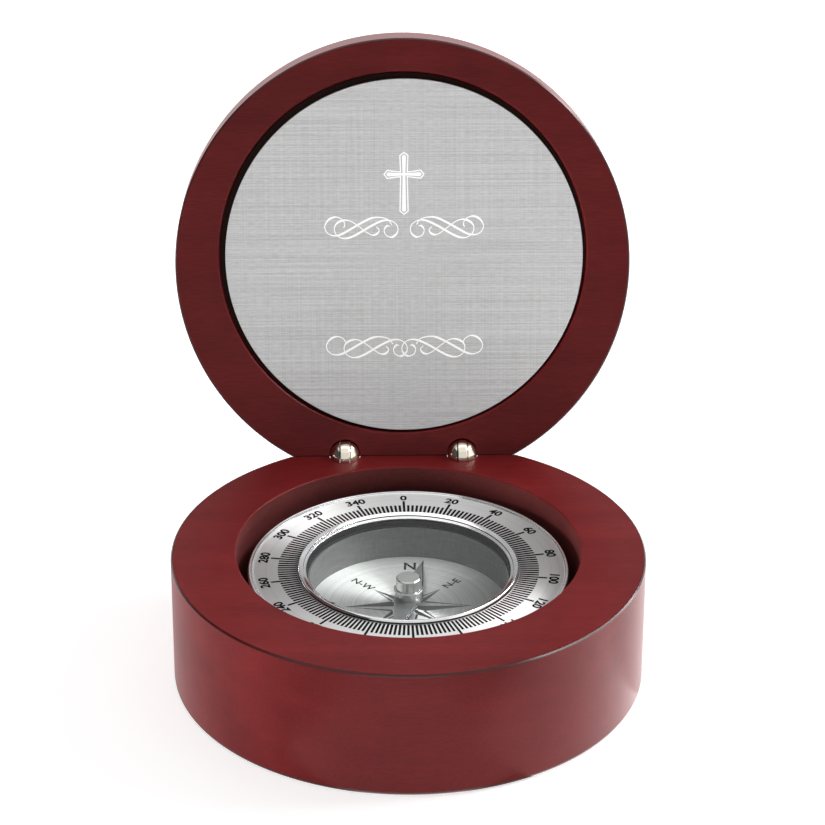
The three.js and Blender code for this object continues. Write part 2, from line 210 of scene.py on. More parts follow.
class DialSettings(bpy.types.PropertyGroup):
    """The degree ring and the bezel."""

    lip_width: length("Lip width", "Width of each of the two raised lips", 0.2)
    lip_height: length("Lip height", "Height of the raised lips", 0.25)
    overhang: length("Overhang", "Bezel over the bore of the ring", 0.3)
    knurl_count: IntProperty(name="Knurl count", description="Teeth of the coin edge", default=300)
    knurl_depth: length("Knurl depth", "Depth of the coin edge", 0.14)
    print_turn: swing("Print turn", "Turn of the printed scale on the ring", 0.6)
    tick_width: length("Tick width", "Width of a degree mark", 0.43)
    short_tick: length("Short tick", "Outer end of the short marks", 22.75)
    long_tick: length("Long tick", "Outer end of the numbered marks", 24.3)
    figure_height: length("Figure height", "Height of the figures", 1.78)
    figure_radius: length("Figure radius", "Middle of the figures from the centre", 25.5)
    print_height: length("Print height", "Thickness of the printed marks", 0.02)
    silver: tint("Silver", "Satin silver of the ring", "D6D6D6")
    ink: tint("Ink", "Printed marks", "070707")


class CardSettings(bpy.types.PropertyGroup):
    """The turned card and the star on it."""

    long_point: length("Long point", "Reach of the four main points", 11.2)
    short_point: length("Short point", "Reach of the points between them", 8.3)
    notch: length("Notch", "Radius of the notches between the points", 3.4)
    notch_turn: swing("Notch turn", "Turn from a main point to the notches beside it", 29)
    outline: length("Outline", "Line along the pale half of each point", 0.42)
    letter_height: length("Letter height", "Height of the four main letters", 2.55)
    letter_radius: length("Letter radius", "Main letters from the centre", 14.1)
    letter_turn: swing("Letter turn", "Turn of the main letters from the star's points", 2.6)
    pair_height: length("Pair height", "Height of the paired letters", 1.5)
    pair_radius: length("Pair radius", "Paired letters from the centre", 11.1)
    silver: tint("Silver", "Turned silver", "DCDCDA")
    shade: tint("Shade", "Printed half of the star", "4A4A4A")
    wall: tint("Wall", "Brushed wall of the well", "868686")


class NeedleSettings(bpy.types.PropertyGroup):
    """The needle and its hub."""

    bore: length("Bore", "Radius of the bore through the needle", 1.1)
    bevel: length("Bevel", "Width of the polished bevel", 0.22)
    rim: length("Rim", "Rim at the foot of the hub", 0.4)
    rim_height: length("Rim height", "Height of the rim", 0.6)
    chamfer: length("Chamfer", "Chamfer round the top of the hub", 0.2)
    steel: tint("Steel", "Polished steel", "9C9D9E")


class StageSettings(bpy.types.PropertyGroup):
    """Camera, lamps and floor."""

    eye: FloatVectorProperty(
        name="Eye", description="Place of the camera", subtype="TRANSLATION", unit="LENGTH",
        default=(-13.23 * MM, -494.31 * MM, 302.76 * MM),
    )
    aim: FloatVectorProperty(
        name="Aim", description="Point in the middle of the picture", subtype="TRANSLATION", unit="LENGTH",
        default=(1.2 * MM, 21.06 * MM, 39.72 * MM),
    )
    roll: swing("Roll", "Turn of the camera about its view", 0.204)
    lens: FloatProperty(
        name="Lens", description="Focal length for a sensor 36 mm wide", default=142.56, unit="CAMERA"
    )
    fill: FloatProperty(name="Fill", description="Light from all round", default=0.13)
    mirrored: FloatProperty(name="Mirrored", description="Brightness that mirrors show", default=1.0)
    floor: tint("Floor", "Pale floor", "E4E4E4")


SETTINGS = {
    "compass_wood": WoodSettings,
    "compass_plate": PlateSettings,
    "compass_hinge": HingeSettings,
    "compass_dial": DialSettings,
    "compass_card": CardSettings,
    "compass_needle": NeedleSettings,
    "compass_stage": StageSettings,
}


# Surfaces


def moved(points, matrix):
    """Points (…, xyz) carried by a 4x4 matrix."""
    table = np.array(matrix)
    return points @ table[:3, :3].T + table[:3, 3]


def softened(corners, reach, closed=False, steps=ROUND_STEPS):
    """An outline with its corners C rounded: (1-t)²A + 2t(1-t)C + t²B, with A and B at reach beside C."""
    corners = np.array(corners, float)
    reach = np.broadcast_to(np.asarray(reach, float), len(corners))[:, None].copy()
    if not closed:
        reach[[0, -1]] = 0
    to_last = np.roll(corners, 1, axis=0) - corners
    to_next = np.roll(corners, -1, axis=0) - corners
    a = corners + to_last / np.linalg.norm(to_last, axis=1, keepdims=True) * reach
    b = corners + to_next / np.linalg.norm(to_next, axis=1, keepdims=True) * reach
    t = np.linspace(0, 1, steps)[None, :, None]
    curve = (1 - t) ** 2 * a[:, None] + 2 * t * (1 - t) * corners[:, None] + t**2 * b[:, None]
    return curve.reshape(-1, 2)


def turned(profile, steps=WIDE_STEPS, centre=(0, 0, 0)):
    """A profile of (radius, height) points carried round Z: (r cos a, r sin a, h) by angle and point."""
    profile = np.asarray(profile, float)
    angle = np.linspace(0, TURN, steps, endpoint=False)[:, None]
    across, along = profile[:, 0], profile[:, 1]
    rounds = [across * np.cos(angle), across * np.sin(angle), along + 0 * angle]
    return np.stack(rounds, axis=-1) + np.array(centre)


def grid(points, close_u=True, close_v=False):
    """Quads over a grid (u, v, xyz), with u in turns and v in metres along the profile as its map."""
    nu, nv = points.shape[:2]
    i = np.arange(nu if close_u else nu - 1)[:, None, None]
    j = np.arange(nv if close_v else nv - 1)[None, :, None]
    di, dj = np.array([0, 1, 1, 0]), np.array([0, 0, 1, 1])
    faces = ((i + di) % nu) * nv + (j + dj) % nv
    stride = np.linalg.norm(np.diff(points, axis=1, append=points[:, :1]), axis=-1).max(axis=0)
    run = np.concatenate([[0], np.cumsum(stride)])
    chart = np.stack(np.broadcast_arrays((i + di) / nu, run[j + dj]), axis=-1)
    return points.reshape(-1, 3), faces.reshape(-1, 4), chart.reshape(-1, 2)


def plain(points, faces):
    """A surface with no map of its own."""
    return points, faces, np.zeros((sum(len(face) for face in faces), 2))


def built(name, parts):
    """One mesh of several surfaces, with doubled points merged at poles and seams."""
    mesh = bpy.data.meshes.new(name)
    starts = np.cumsum([0] + [len(part[0]) for part in parts])
    faces = [
        [int(corner) + int(start) for corner in face]
        for part, start in zip(parts, starts)
        for face in part[1]
    ]
    mesh.from_pydata(np.concatenate([part[0] for part in parts]).tolist(), [], faces)
    chart = mesh.uv_layers.new(name="chart")
    chart.uv.foreach_set("vector", np.concatenate([part[2] for part in parts]).astype(np.float32).ravel())
    merged = bmesh.new()
    merged.from_mesh(mesh)
    bmesh.ops.remove_doubles(merged, verts=merged.verts, dist=MERGE)
    merged.to_mesh(mesh)
    merged.free()
    mesh.shade_smooth()
    mesh.set_sharp_from_angle(angle=CREASE)
    return mesh


def piece(name, parts, material, body, *stands_for, slot=None):
    """A named object that rides on a body and stands for CAD nodes."""
    made = bpy.data.objects.new(name, built(name, parts))
    made.data.materials.append(material)
    bpy.context.scene.collection.objects.link(made)
    flat = made.modifiers.new("flat faces", "WEIGHTED_NORMAL")
    flat.keep_sharp = True
    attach(made, body)
    if stands_for:
        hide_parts(*stands_for)
    return made


def faces_of(made, what):
    """The centres or normals of a piece's faces (n, xyz)."""
    values = np.empty(len(made.data.polygons) * 3)
    made.data.polygons.foreach_get(what, values)
    return values.reshape(-1, 3)


def recoat(made, material, chosen):
    """Gives the chosen faces of a piece another material."""
    slots = np.empty(len(chosen), np.int32)
    made.data.polygons.foreach_get("material_index", slots)
    slots[chosen] = len(made.data.materials)
    made.data.materials.append(material)
    made.data.polygons.foreach_set("material_index", slots)


def cut(made, parts):
    """Cuts closed surfaces out of a piece."""
    tool = bpy.data.objects.new("cutter", built("cutter", parts))
    bpy.context.scene.collection.objects.link(tool)
    change = made.modifiers.new("cut", "BOOLEAN")
    change.operation = "DIFFERENCE"
    change.solver = "EXACT"
    change.object = tool
    made.modifiers.move(len(made.modifiers) - 1, 0)
    made.modifiers["flat faces"].show_viewport = False
    ready = made.evaluated_get(bpy.context.evaluated_depsgraph_get())
    mesh = bpy.data.meshes.new_from_object(ready)
    mesh.shade_smooth()
    mesh.set_sharp_from_angle(angle=CREASE)
    made.modifiers.remove(change)
    made.modifiers["flat faces"].show_viewport = True
    made.data = mesh
    bpy.data.objects.remove(tool)


def disc_profile(reach, low, high, edge, steps=ROUND_STEPS):
    """The section of a disc with softened edges, from the middle of its underside to that of its top."""
    return softened([(0, low), (reach, low), (reach, high), (0, high)], edge, steps=steps)


def ring_parts(corners, edge, around=WIDE_STEPS, steps=ROUND_STEPS):
    """A closed section with softened corners, carried round the dial's axis."""
    return [grid(turned(softened(corners, edge, closed=True, steps=steps), around, DIAL), close_v=True)]


def lettering(text, height, narrow=1.0, weight=0.0):
    """Upright letters of a capital height about the origin, as a thin closed solid of unit thickness."""
    curve = bpy.data.curves.new("lettering", "FONT")
    curve.body = text
    curve.align_x = "CENTER"
    curve.offset = weight
    curve.resolution_u = 4
    curve.extrude = 0.5
    holder = bpy.data.objects.new("lettering", curve)
    bpy.context.scene.collection.objects.link(holder)
    mesh = bpy.data.meshes.new_from_object(holder.evaluated_get(bpy.context.evaluated_depsgraph_get()))
    points = points_of(mesh)
    faces = [list(face.vertices) for face in mesh.polygons]
    bpy.data.objects.remove(holder)
    bpy.data.meshes.remove(mesh)
    low, high = points[:, 1].min(), points[:, 1].max()
    points[:, 1] -= (low + high) / 2
    scale = height / (high - low)
    return points * (scale * narrow, scale, 1) + (0, 0, 0.5), faces


def printed(text, height, reach, bearing, level, thickness, spin=0.0, **style):
    """Letters on the dial at a bearing clockwise from north, with their tops outwards unless spun."""
    points, faces = lettering(text, height, **style)
    place = (
        Matrix.Translation(DIAL + Vector((0, 0, level)))
        @ Matrix.Rotation(-bearing, 4, "Z")
        @ Matrix.Translation((0, reach, 0))
        @ Matrix.Rotation(spin, 4, "Z")
    )
    return plain(moved(points * (1, 1, thickness), place), faces)


# Faces of a box whose corners 0 to 3 lie below and 4 to 7 above, anticlockwise from above.
BOX_FACES = np.array([[3, 2, 1, 0], [4, 5, 6, 7], [0, 1, 5, 4], [1, 2, 6, 5], [2, 3, 7, 6], [3, 0, 4, 7]])


def marks(bearings, inner, outer, width, level, thickness):
    """Radial bars on the dial: one box of 8 corners turned to each bearing clockwise from north."""
    half = width / 2
    flat = np.array([(-half, inner), (half, inner), (half, outer), (-half, outer)])
    turn = np.asarray(bearings)[:, None]
    x = flat[:, 0] * np.cos(turn) + flat[:, 1] * np.sin(turn)
    y = flat[:, 1] * np.cos(turn) - flat[:, 0] * np.sin(turn)
    return prisms(np.stack([x, y], axis=-1) + DIAL_XY, level, thickness)


def prisms(outlines, level, thickness):
    """Upright prisms on four-cornered outlines (n, 4, xy), anticlockwise, from a level upwards."""
    n = len(outlines)
    low = np.concatenate([outlines, np.full((n, 4, 1), level)], axis=-1)
    corners = np.concatenate([low, low + (0, 0, thickness)], axis=1)
    faces = (np.arange(n)[:, None, None] * 8 + BOX_FACES).reshape(-1, 4)
    return plain(corners.reshape(-1, 3), faces)


def smooth_path(points, steps=10):
    """A smooth curve through points: each stretch is a cubic that sets out along its neighbours' line."""
    p = np.array(points, float)
    p = np.concatenate([[2 * p[0] - p[1]], p, [2 * p[-1] - p[-2]]])
    a, b, c, d = p[:-3, None], p[1:-2, None], p[2:-1, None], p[3:, None]
    t = np.linspace(0, 1, steps, endpoint=False)[None, :, None]
    path = b + 0.5 * t * (c - a + t * (2 * a - 5 * b + 4 * c - d + t * (3 * (b - c) + d - a)))
    return np.concatenate([path.reshape(-1, 2), p[-2:-1]])


def ribbon(path, width, thickness):
    """A low bar along a flat path: its section is a rectangle of the local width, closed at both ends."""
    ahead = np.gradient(path, axis=0)
    side = np.stack([-ahead[:, 1], ahead[:, 0]], axis=-1) / np.linalg.norm(ahead, axis=1, keepdims=True)
    half = side * (width / 2)[:, None]
    section = [
        np.hstack([path + side_of * half, np.full((len(path), 1), level)])
        for side_of, level in ((-1, 0), (-1, thickness), (1, thickness), (1, 0))
    ]
    return grid(np.stack(section, axis=1)[::-1], close_u=False, close_v=True)


# Finishes


def add(tree, kind, inputs=None, **settings):
    """Adds a shader node with its settings; each input is a value or the output that feeds it."""
    made = tree.nodes.new("ShaderNode" + kind)
    for key, value in settings.items():
        setattr(made, key, value)
    for key, value in (inputs or {}).items():
        if isinstance(value, bpy.types.NodeSocket):
            tree.links.new(value, made.inputs[key])
        else:
            made.inputs[key].default_value = value
    return made


def finish(name, **sockets):
    """A material, its tree and its one Principled shader, whose sockets are set by name."""
    made = bpy.data.materials.get(name) or bpy.data.materials.new(name)
    made.use_nodes = True
    tree = made.node_tree
    shader = tree.nodes["Principled BSDF"]
    for key, value in sockets.items():
        shader.inputs[key.replace("_", " ")].default_value = value
    return made, tree, shader


def feed(tree, shader, **outputs):
    """Links outputs to the shader's sockets by name."""
    for key, output in outputs.items():
        tree.links.new(output, shader.inputs[key.replace("_", " ")])


def rgba(colour):
    """A colour with full cover."""
    return (*colour, 1)


def shade(colour, factor):
    """The same colour, lighter or darker."""
    return tuple(min(1.0, channel * factor) for channel in colour)


BLACK = (0, 0, 0, 1)
WHITE = (1, 1, 1, 1)
# Sockets of a Mix node: the share of its second colour, its two colours and its result.
MIX_SHARE = 0
MIX_A = 6
MIX_B = 7
MIX_OUT = 2
# Sockets of a Map Range node: a value, the limits that it comes between and those that it goes to.
VALUE, FROM_LOW, FROM_HIGH, TO_LOW, TO_HIGH = range(5)


def lacquered_rosewood():
    """Rosewood-stained hardwood, sprayed with lacquer: deep red with fine dark pores and a soft sheen."""
    sizes = bpy.context.scene.compass_wood
    return rosewood("rosewood satin lacquer", sizes.stain, sizes.glow, 0.34, 0.14)


def burnished_rosewood():
    """The same wood on its edges, painted darker as shade under a glossier lacquer: a thin dark or white
    line.
    """
    sizes = bpy.context.scene.compass_wood
    return rosewood("rosewood edge, painted shade", sizes.edge_stain, shade(sizes.edge_stain, 1.5), 0.22, 0.36)


def routed_rosewood():
    """The same wood where a cutter left it bare: stained but not lacquered, so brown, dull and dusty."""
    sizes = bpy.context.scene.compass_wood
    return rosewood("rosewood bare routed", sizes.bare_stain, shade(sizes.bare_stain, 1.8), 0.6, 0.1)


def rosewood(name, dark, pale, gloss, specular):
    """Wood with long dark pores along X and a cloudy figure, between two colours, under a lacquer."""
    pore = 0.16 * MM
    pore_length = 16
    figure = 5 * MM
    cloud_size = 18 * MM
    relief_depth = 0.02 * MM
    made, tree, shader = finish(name, IOR=1.45, Specular_IOR_Level=specular)
    place = add(tree, "TexCoord").outputs["Object"]
    along = add(tree, "Mapping", {"Vector": place, "Scale": (1 / pore_length, 1, 1)}).outputs[0]
    grain = add(tree, "TexNoise", {"Vector": along, "Scale": 1 / figure, "Detail": 6, "Roughness": 0.62})
    cloud = add(tree, "TexNoise", {"Vector": place, "Scale": 1 / cloud_size, "Detail": 2})
    blend = add(tree, "Math", {0: grain.outputs[0], 1: cloud.outputs[0]}, operation="ADD")
    level = add(tree, "MapRange", {VALUE: blend.outputs[0], FROM_LOW: 0.5, FROM_HIGH: 1.5})
    colours = {MIX_SHARE: level.outputs[0], MIX_A: rgba(dark), MIX_B: rgba(pale)}
    stained = add(tree, "Mix", colours, data_type="RGBA").outputs[MIX_OUT]
    fleck = add(tree, "TexNoise", {"Vector": along, "Scale": 1 / pore, "Detail": 2}).outputs[0]
    limits = {VALUE: fleck, FROM_LOW: 0.3, FROM_HIGH: 0.6, TO_LOW: 0.78, TO_HIGH: 1.06}
    pores = add(tree, "MapRange", limits).outputs[0]
    colours = {MIX_SHARE: 1.0, MIX_A: stained, MIX_B: pores}
    toned = add(tree, "Mix", colours, data_type="RGBA", blend_type="MULTIPLY").outputs[MIX_OUT]
    limits = {VALUE: fleck, FROM_LOW: 0.2, FROM_HIGH: 0.8, TO_LOW: 0.88 * gloss, TO_HIGH: 1.12 * gloss}
    sheen = add(tree, "MapRange", limits).outputs[0]
    relief = add(tree, "Bump", {"Strength": 0.05, "Distance": relief_depth, "Height": fleck}).outputs[0]
    feed(tree, shader, Base_Color=toned, Roughness=sheen, Normal=relief)
    return made


def textured(tree, shader, level, colour, spread, rough, bump, depth):
    """Lets a level from nought to one drive a shader: its colour, from darker to lighter, and its relief."""
    darker, lighter = (rgba(shade(colour, 1 + change)) for change in (-spread, spread))
    colours = {MIX_SHARE: level, MIX_A: darker, MIX_B: lighter}
    tone = add(tree, "Mix", colours, data_type="RGBA").outputs[MIX_OUT]
    relief = add(tree, "Bump", {"Strength": bump, "Distance": depth, "Height": level}).outputs[0]
    feed(tree, shader, Base_Color=tone, Roughness=rough.outputs[0], Normal=relief)


def speckled(name, colour, spread, grain, roughness, bump=0.1, **sockets):
    """A finish with fine even grain: colour and roughness vary with noise of the given size in metres."""
    made, tree, shader = finish(name, **sockets)
    place = add(tree, "TexCoord").outputs["Object"]
    noise = add(tree, "TexNoise", {"Vector": place, "Scale": 1 / grain, "Detail": 3}).outputs[0]
    limits = {VALUE: noise, FROM_LOW: 0.2, FROM_HIGH: 0.8, TO_LOW: 0.9 * roughness, TO_HIGH: 1.1 * roughness}
    rough = add(tree, "MapRange", limits)
    textured(tree, shader, noise, colour, spread, rough, bump, grain)
    return made


def brushed(name, colour, spread, strokes, roughness, chart=False, **sockets):
    """Brushed metal: sets of fine streaks, each given by its weight and its three stroke sizes in metres, or
    None for a direction in which it's even. The darkest and the lightest lie contrast_reach off the mean."""
    bump = 0.05
    relief_depth = 0.02 * MM
    contrast_reach = 0.22
    made, tree, shader = finish(name, **sockets)
    place = add(tree, "TexCoord").outputs["UV" if chart else "Object"]
    total = 0.0
    mean = 0.0
    for weight, *stroke in strokes:
        scale = tuple(0 if size is None else 1 / size for size in stroke)
        along = add(tree, "Mapping", {"Vector": place, "Scale": scale}).outputs[0]
        streak = add(tree, "TexNoise", {"Vector": along, "Scale": 1.0, "Detail": 3, "Roughness": 0.6})
        summed = {0: streak.outputs[0], 1: weight, 2: total}
        total = add(tree, "Math", summed, operation="MULTIPLY_ADD").outputs[0]
        mean += 0.5 * weight
    limits = {VALUE: total, FROM_LOW: mean - contrast_reach, FROM_HIGH: mean + contrast_reach}
    level = add(tree, "MapRange", limits).outputs[0]
    rough = add(tree, "MapRange", {VALUE: level, TO_LOW: 1.12 * roughness, TO_HIGH: 0.88 * roughness})
    textured(tree, shader, level, colour, spread, rough, bump, relief_depth)
    if chart:
        around = add(tree, "Tangent", direction_type="UV_MAP", uv_map="chart")
        feed(tree, shader, Tangent=around.outputs[0])
    return made


def cross_brushed_plate():
    """Aluminium sheet brushed along and, more lightly, across: a linen of pale and dark threads, drawn about
    a fifth of a millimetre wide, which is coarser than real ones, so that they show."""
    thread = 0.14 * MM
    run = 30 * MM
    strokes = [
        (1, 2 * run, None, thread),
        (1, run, None, 1.4 * thread),
        (0.8, 10 * thread, None, 1.4 * thread),
        (0.55, 1.4 * thread, None, run),
    ]
    colour = bpy.context.scene.compass_plate.metal
    return brushed("cross-brushed aluminium", colour, 0.155, strokes, 0.42, Metallic=0.9)


def frosted_engraving():
    """Laser-frosted aluminium: the marks scatter all light, so they look matt white."""
    colour = bpy.context.scene.compass_plate.frost
    return speckled("laser-frosted aluminium", colour, 0.02, 0.1 * MM, 0.55, Metallic=0.9)


def black_foam():
    """Closed-cell foam tape: black, matt and finely pitted."""
    return speckled("black foam tape", linear("1A1615"), 0.25, 0.25 * MM, 0.9, bump=0.4)


def brown_felt():
    """Brown-black felt round the plate: dull, and almost black in the gap."""
    return speckled("brown-black felt", linear("33201B"), 0.3, 0.2 * MM, 0.95, Specular_IOR_Level=0.1)


def polished_nickel():
    """Nickel-plated brass, buffed: a warm mirror with faint wipe marks."""
    colour = bpy.context.scene.compass_hinge.metal
    return speckled("polished nickel plate", colour, 0.03, 0.8 * MM, 0.12, bump=0.02, Metallic=1.0)


def oiled_nickel():
    """Nickel lining the slits, painted near black as the shade in the slits."""
    return speckled("nickel plate, painted slit shade", linear("17140F"), 0.2, 0.3 * MM, 0.5, Metallic=0.5)


def black_abs():
    """Moulded black ABS: an even matt spark texture."""
    return speckled("moulded black ABS", linear("1C1C1C"), 0.15, 0.2 * MM, 0.55, bump=0.2)


def nylon():
    """Stamped natural nylon: milky and slightly waxy."""
    return speckled("natural nylon", linear("E4DFD3"), 0.04, 0.4 * MM, 0.45, Subsurface_Weight=0.1)


def satin_silver():
    """Turned and silvered brass ring: faint rings round the dial, with a bright sheen to two sides."""
    colour = bpy.context.scene.compass_dial.silver
    strokes = [(1, None, 0.25 * MM, 1), (1, None, 0.8 * MM, 1)]
    return brushed(
        "satin turned silver", colour, 0.04, strokes, 0.5, chart=True,
        Metallic=0.82, Anisotropic=0.9, Anisotropic_Rotation=0.25,
    )


def bright_lip():
    """Silvered brass, cut with a diamond tool: two bright lines round the ring."""
    return speckled("diamond-cut silver", linear("EDEDED"), 0.02, 0.5 * MM, 0.14, bump=0.02, Metallic=0.95)


def dial_ink():
    """Pad-printed black ink: flat and slightly uneven."""
    colour = bpy.context.scene.compass_dial.ink
    return speckled("pad-printed black ink", colour, 0.2, 0.1 * MM, 0.7, Specular_IOR_Level=0.1)


def polished_chrome():
    """Chrome-plated brass: a bright cold mirror."""
    return speckled("polished chrome", linear("D6D7D8"), 0.015, 1.5 * MM, 0.12, bump=0.01, Metallic=0.95)


def blackened_groove():
    """Painted shade in the bezel's foot groove and on its step: two thin near-black lines round the chrome.
    """
    return speckled("bezel groove, painted shade", linear("101010"), 0.2, 0.2 * MM, 0.4, Specular_IOR_Level=0.3)


def gasket_rubber():
    """Cut nitrile rubber: dull black."""
    return speckled("black nitrile rubber", linear("0E0E0E"), 0.2, 0.15 * MM, 0.8)


def mineral_glass():
    """Flat mineral glass: clear, and a mirror only at low angles."""
    made, tree, shader = finish("mineral glass")
    tree.nodes.remove(shader)
    clear = add(tree, "BsdfTransparent", {"Color": (0.97, 0.98, 0.98, 1)})
    mirror = add(tree, "BsdfGlossy", {"Color": WHITE, "Roughness": 0.02})
    inside = add(tree, "NewGeometry").outputs["Backfacing"]
    edge_on = add(tree, "Fresnel", {"IOR": 1.35}).outputs[0]
    share = add(tree, "MapRange", {VALUE: inside, TO_LOW: edge_on, TO_HIGH: 0.0})
    pane = add(tree, "MixShader", {0: share.outputs[0], 1: clear.outputs[0], 2: mirror.outputs[0]})
    tree.links.new(pane.outputs[0], tree.nodes["Material Output"].inputs["Surface"])
    return made


def brushed_wall():
    """Dark brushed aluminium: fine upright strokes round the well."""
    colour = bpy.context.scene.compass_card.wall
    # On the map, the first size of a stroke is its share of a turn round the well.
    strokes = [(1, 0.004, 3 * MM, 1), (1, 0.03, 0.5 * MM, 1)]
    return brushed("dark brushed aluminium", colour, 0.1, strokes, 0.4, chart=True, Metallic=0.35)


def turned_card():
    """Silvered brass turned on a lathe: fine rings round the pivot, with a bright sheen to two sides."""
    colour = bpy.context.scene.compass_card.silver
    strokes = [(1, None, 0.22 * MM, 1), (1, None, 0.9 * MM, 1)]
    return brushed(
        "turned silvered brass", colour, 0.11, strokes, 0.5, chart=True,
        Metallic=0.8, Anisotropic=0.9, Anisotropic_Rotation=0.25,
    )


def star_ink():
    """Pad-printed dark grey ink."""
    colour = bpy.context.scene.compass_card.shade
    return speckled("pad-printed grey ink", colour, 0.1, 0.1 * MM, 0.5)


def turned_brass():
    """Turned brass under nickel plate: a warm grey with a soft shine."""
    return speckled("nickel-plated brass", linear("ACA79A"), 0.05, 0.2 * MM, 0.3, Metallic=1.0)


def polished_steel():
    """Polished steel: a grey mirror with faint polishing lines."""
    colour = bpy.context.scene.compass_needle.steel
    return speckled("polished steel", colour, 0.03, 0.6 * MM, 0.2, bump=0.02, Metallic=1.0)


def turned_nickel():
    """Nickel plate on a turned cap: a cool mirror."""
    return speckled("turned nickel plate", linear("B6B6B5"), 0.03, 0.5 * MM, 0.1, bump=0.02, Metallic=1.0)


def needle_steel():
    """Ground steel, lightly oiled: half mirror and half grey."""
    colour = bpy.context.scene.compass_needle.steel
    return speckled("ground steel", colour, 0.05, 0.3 * MM, 0.3, bump=0.03, Metallic=0.6)


def satin_nickel():
    """Nickel plate, blasted: the flat top of the hub."""
    return speckled("satin nickel plate", linear("B8B8B6"), 0.05, 0.1 * MM, 0.4, Metallic=0.8)


def ruby():
    """Synthetic ruby: a small clear red jewel."""
    return speckled("synthetic ruby", linear("A3303E"), 0.05, 0.3 * MM, 0.05, IOR=1.76)


def coat_node(node, material):
    """Gives a CAD node that stays in view its finish."""
    slots = frame["nodes"][node].data.materials
    slots.clear()
    slots.append(material)


# Pieces


# How fast the break of a sawn edge falls off from the rim.
SAW_POWER = 3
# Turns of the rim's section: a flat bevel between two short rounds.
BEVEL = np.radians([0, 20, 70, 90])
# Upward parts of a face's normal between which it leans, and the sideways part past which it lines a slit.
LEANING = (0.02, 0.995)
LINES_SLIT = 0.99
SIDES = ("left", "right")
# Turns from straight up to the shanks of the hinge halves, which slant into the wood.
BASE_SHANK = math.radians(135)
LID_SHANK = math.radians(45) - LID_TURN


def box_outline(reach, rounding, overrun, saw_edge):
    """Points round the box (n, levels, xy): the long arc, a corner arc, the hinge flat and the other corner
    arc. The rounding goes from nought on the side of the box to one on its rim."""
    corner = bpy.context.scene.compass_wood.corner_round
    flat = HINGE_POINT.y + overrun - saw_edge * rounding[None, :] ** SAW_POWER
    reach = reach[None, :]
    corner_y = flat - corner
    corner_x = np.sqrt((reach - corner) ** 2 - corner_y**2)
    tilt = np.arctan2(corner_y, corner_x)
    t = np.linspace(0, 1, WIDE_STEPS)[:, None]
    angle = math.pi - tilt + t * (math.pi + 2 * tilt)
    arc = np.stack([reach * np.cos(angle), reach * np.sin(angle)], axis=-1)
    t = np.linspace(0, 1, ROUND_STEPS + 1)[1:, None]
    angle = tilt + t * (RIGHT_ANGLE - tilt)
    right = np.stack([corner_x + corner * np.cos(angle), corner_y + corner * np.sin(angle)], axis=-1)
    t = np.linspace(1, -1, 3 * ROUND_STEPS)[1:, None]
    straight = np.stack([corner_x * t, flat + 0 * t], axis=-1)
    left = (right * (-1, 1))[::-1][1:-1]
    return np.concatenate([arc, right, straight, left])


def wood_parts(low, high, floor, hole_centre, hole, hole_round, overrun, saw_edge, sanding):
    """A D-shaped slab with rounded edges and a round hole: its profile, carried round the outline, goes from
    the centre of the underside over the outer edges and the top to the hole's edge, wall and floor."""
    sizes = bpy.context.scene.compass_wood
    sweep = np.linspace(0, RIGHT_ANGLE, ROUND_STEPS + 1)
    turns = np.concatenate([sweep[::-1], BEVEL])
    rounding = 1 - np.cos(turns)
    edge = np.repeat([sizes.edge_round, sizes.rim_round], [len(sweep), len(BEVEL)])
    drop = edge * (1 - np.sin(turns))
    levels = np.where(np.arange(len(edge)) < len(sweep), low + drop, high - drop)
    outer = box_outline(radius("base_body") - sanding - edge * rounding, rounding, overrun, saw_edge)
    heights = np.broadcast_to(levels[None, :, None], outer.shape[:2] + (1,))
    outer = np.concatenate([outer, heights], axis=-1)
    away = outer[:, -1, :2] - hole_centre
    away = away / np.linalg.norm(away, axis=1, keepdims=True)
    rings = np.concatenate([hole + hole_round * (1 - np.sin(sweep)), [hole, 0]])
    depths = np.concatenate([high - hole_round * (1 - np.cos(sweep)), [floor, floor]])
    inner = np.concatenate(
        [
            hole_centre + away[:, None] * rings[None, :, None],
            np.broadcast_to(depths[None, :, None], (len(outer), len(rings), 1)),
        ],
        axis=-1,
    )
    pole = np.broadcast_to(np.array([0, 0, low]), (len(outer), 1, 3))
    return grid(np.concatenate([pole, outer, inner], axis=1))


def burnish(made, place, high, hole_centre, clear, low=-math.inf):
    """Paints shade on the broken edges in a darker finish: leaning faces by the rim and clear of the hole,
    and under the low level as a contact shadow at the foot. Place carries the piece to where Z is up."""
    centre = moved(faces_of(made, "center"), place)
    lean = np.abs(moved(faces_of(made, "normal"), place.to_3x3().to_4x4())[:, 2])
    out = np.linalg.norm(centre[:, :2] - hole_centre, axis=1)
    by_rim = centre[:, 2] > high - bpy.context.scene.compass_wood.rim_round
    leaning = (lean > LEANING[0]) & (lean < LEANING[1])
    recoat(made, burnished_rosewood(), leaning & (by_rim & (out > clear) | (centre[:, 2] < low)))


def shank_frame(side, lean):
    """The frame of a hinge half: its ball's centre, with Z along its shank."""
    centre = middle(f"hinge_pin_{side}")
    return Matrix.Translation((centre.x, HINGE_POINT.y, HINGE_POINT.z)) @ Matrix.Rotation(lean, 4, "X")


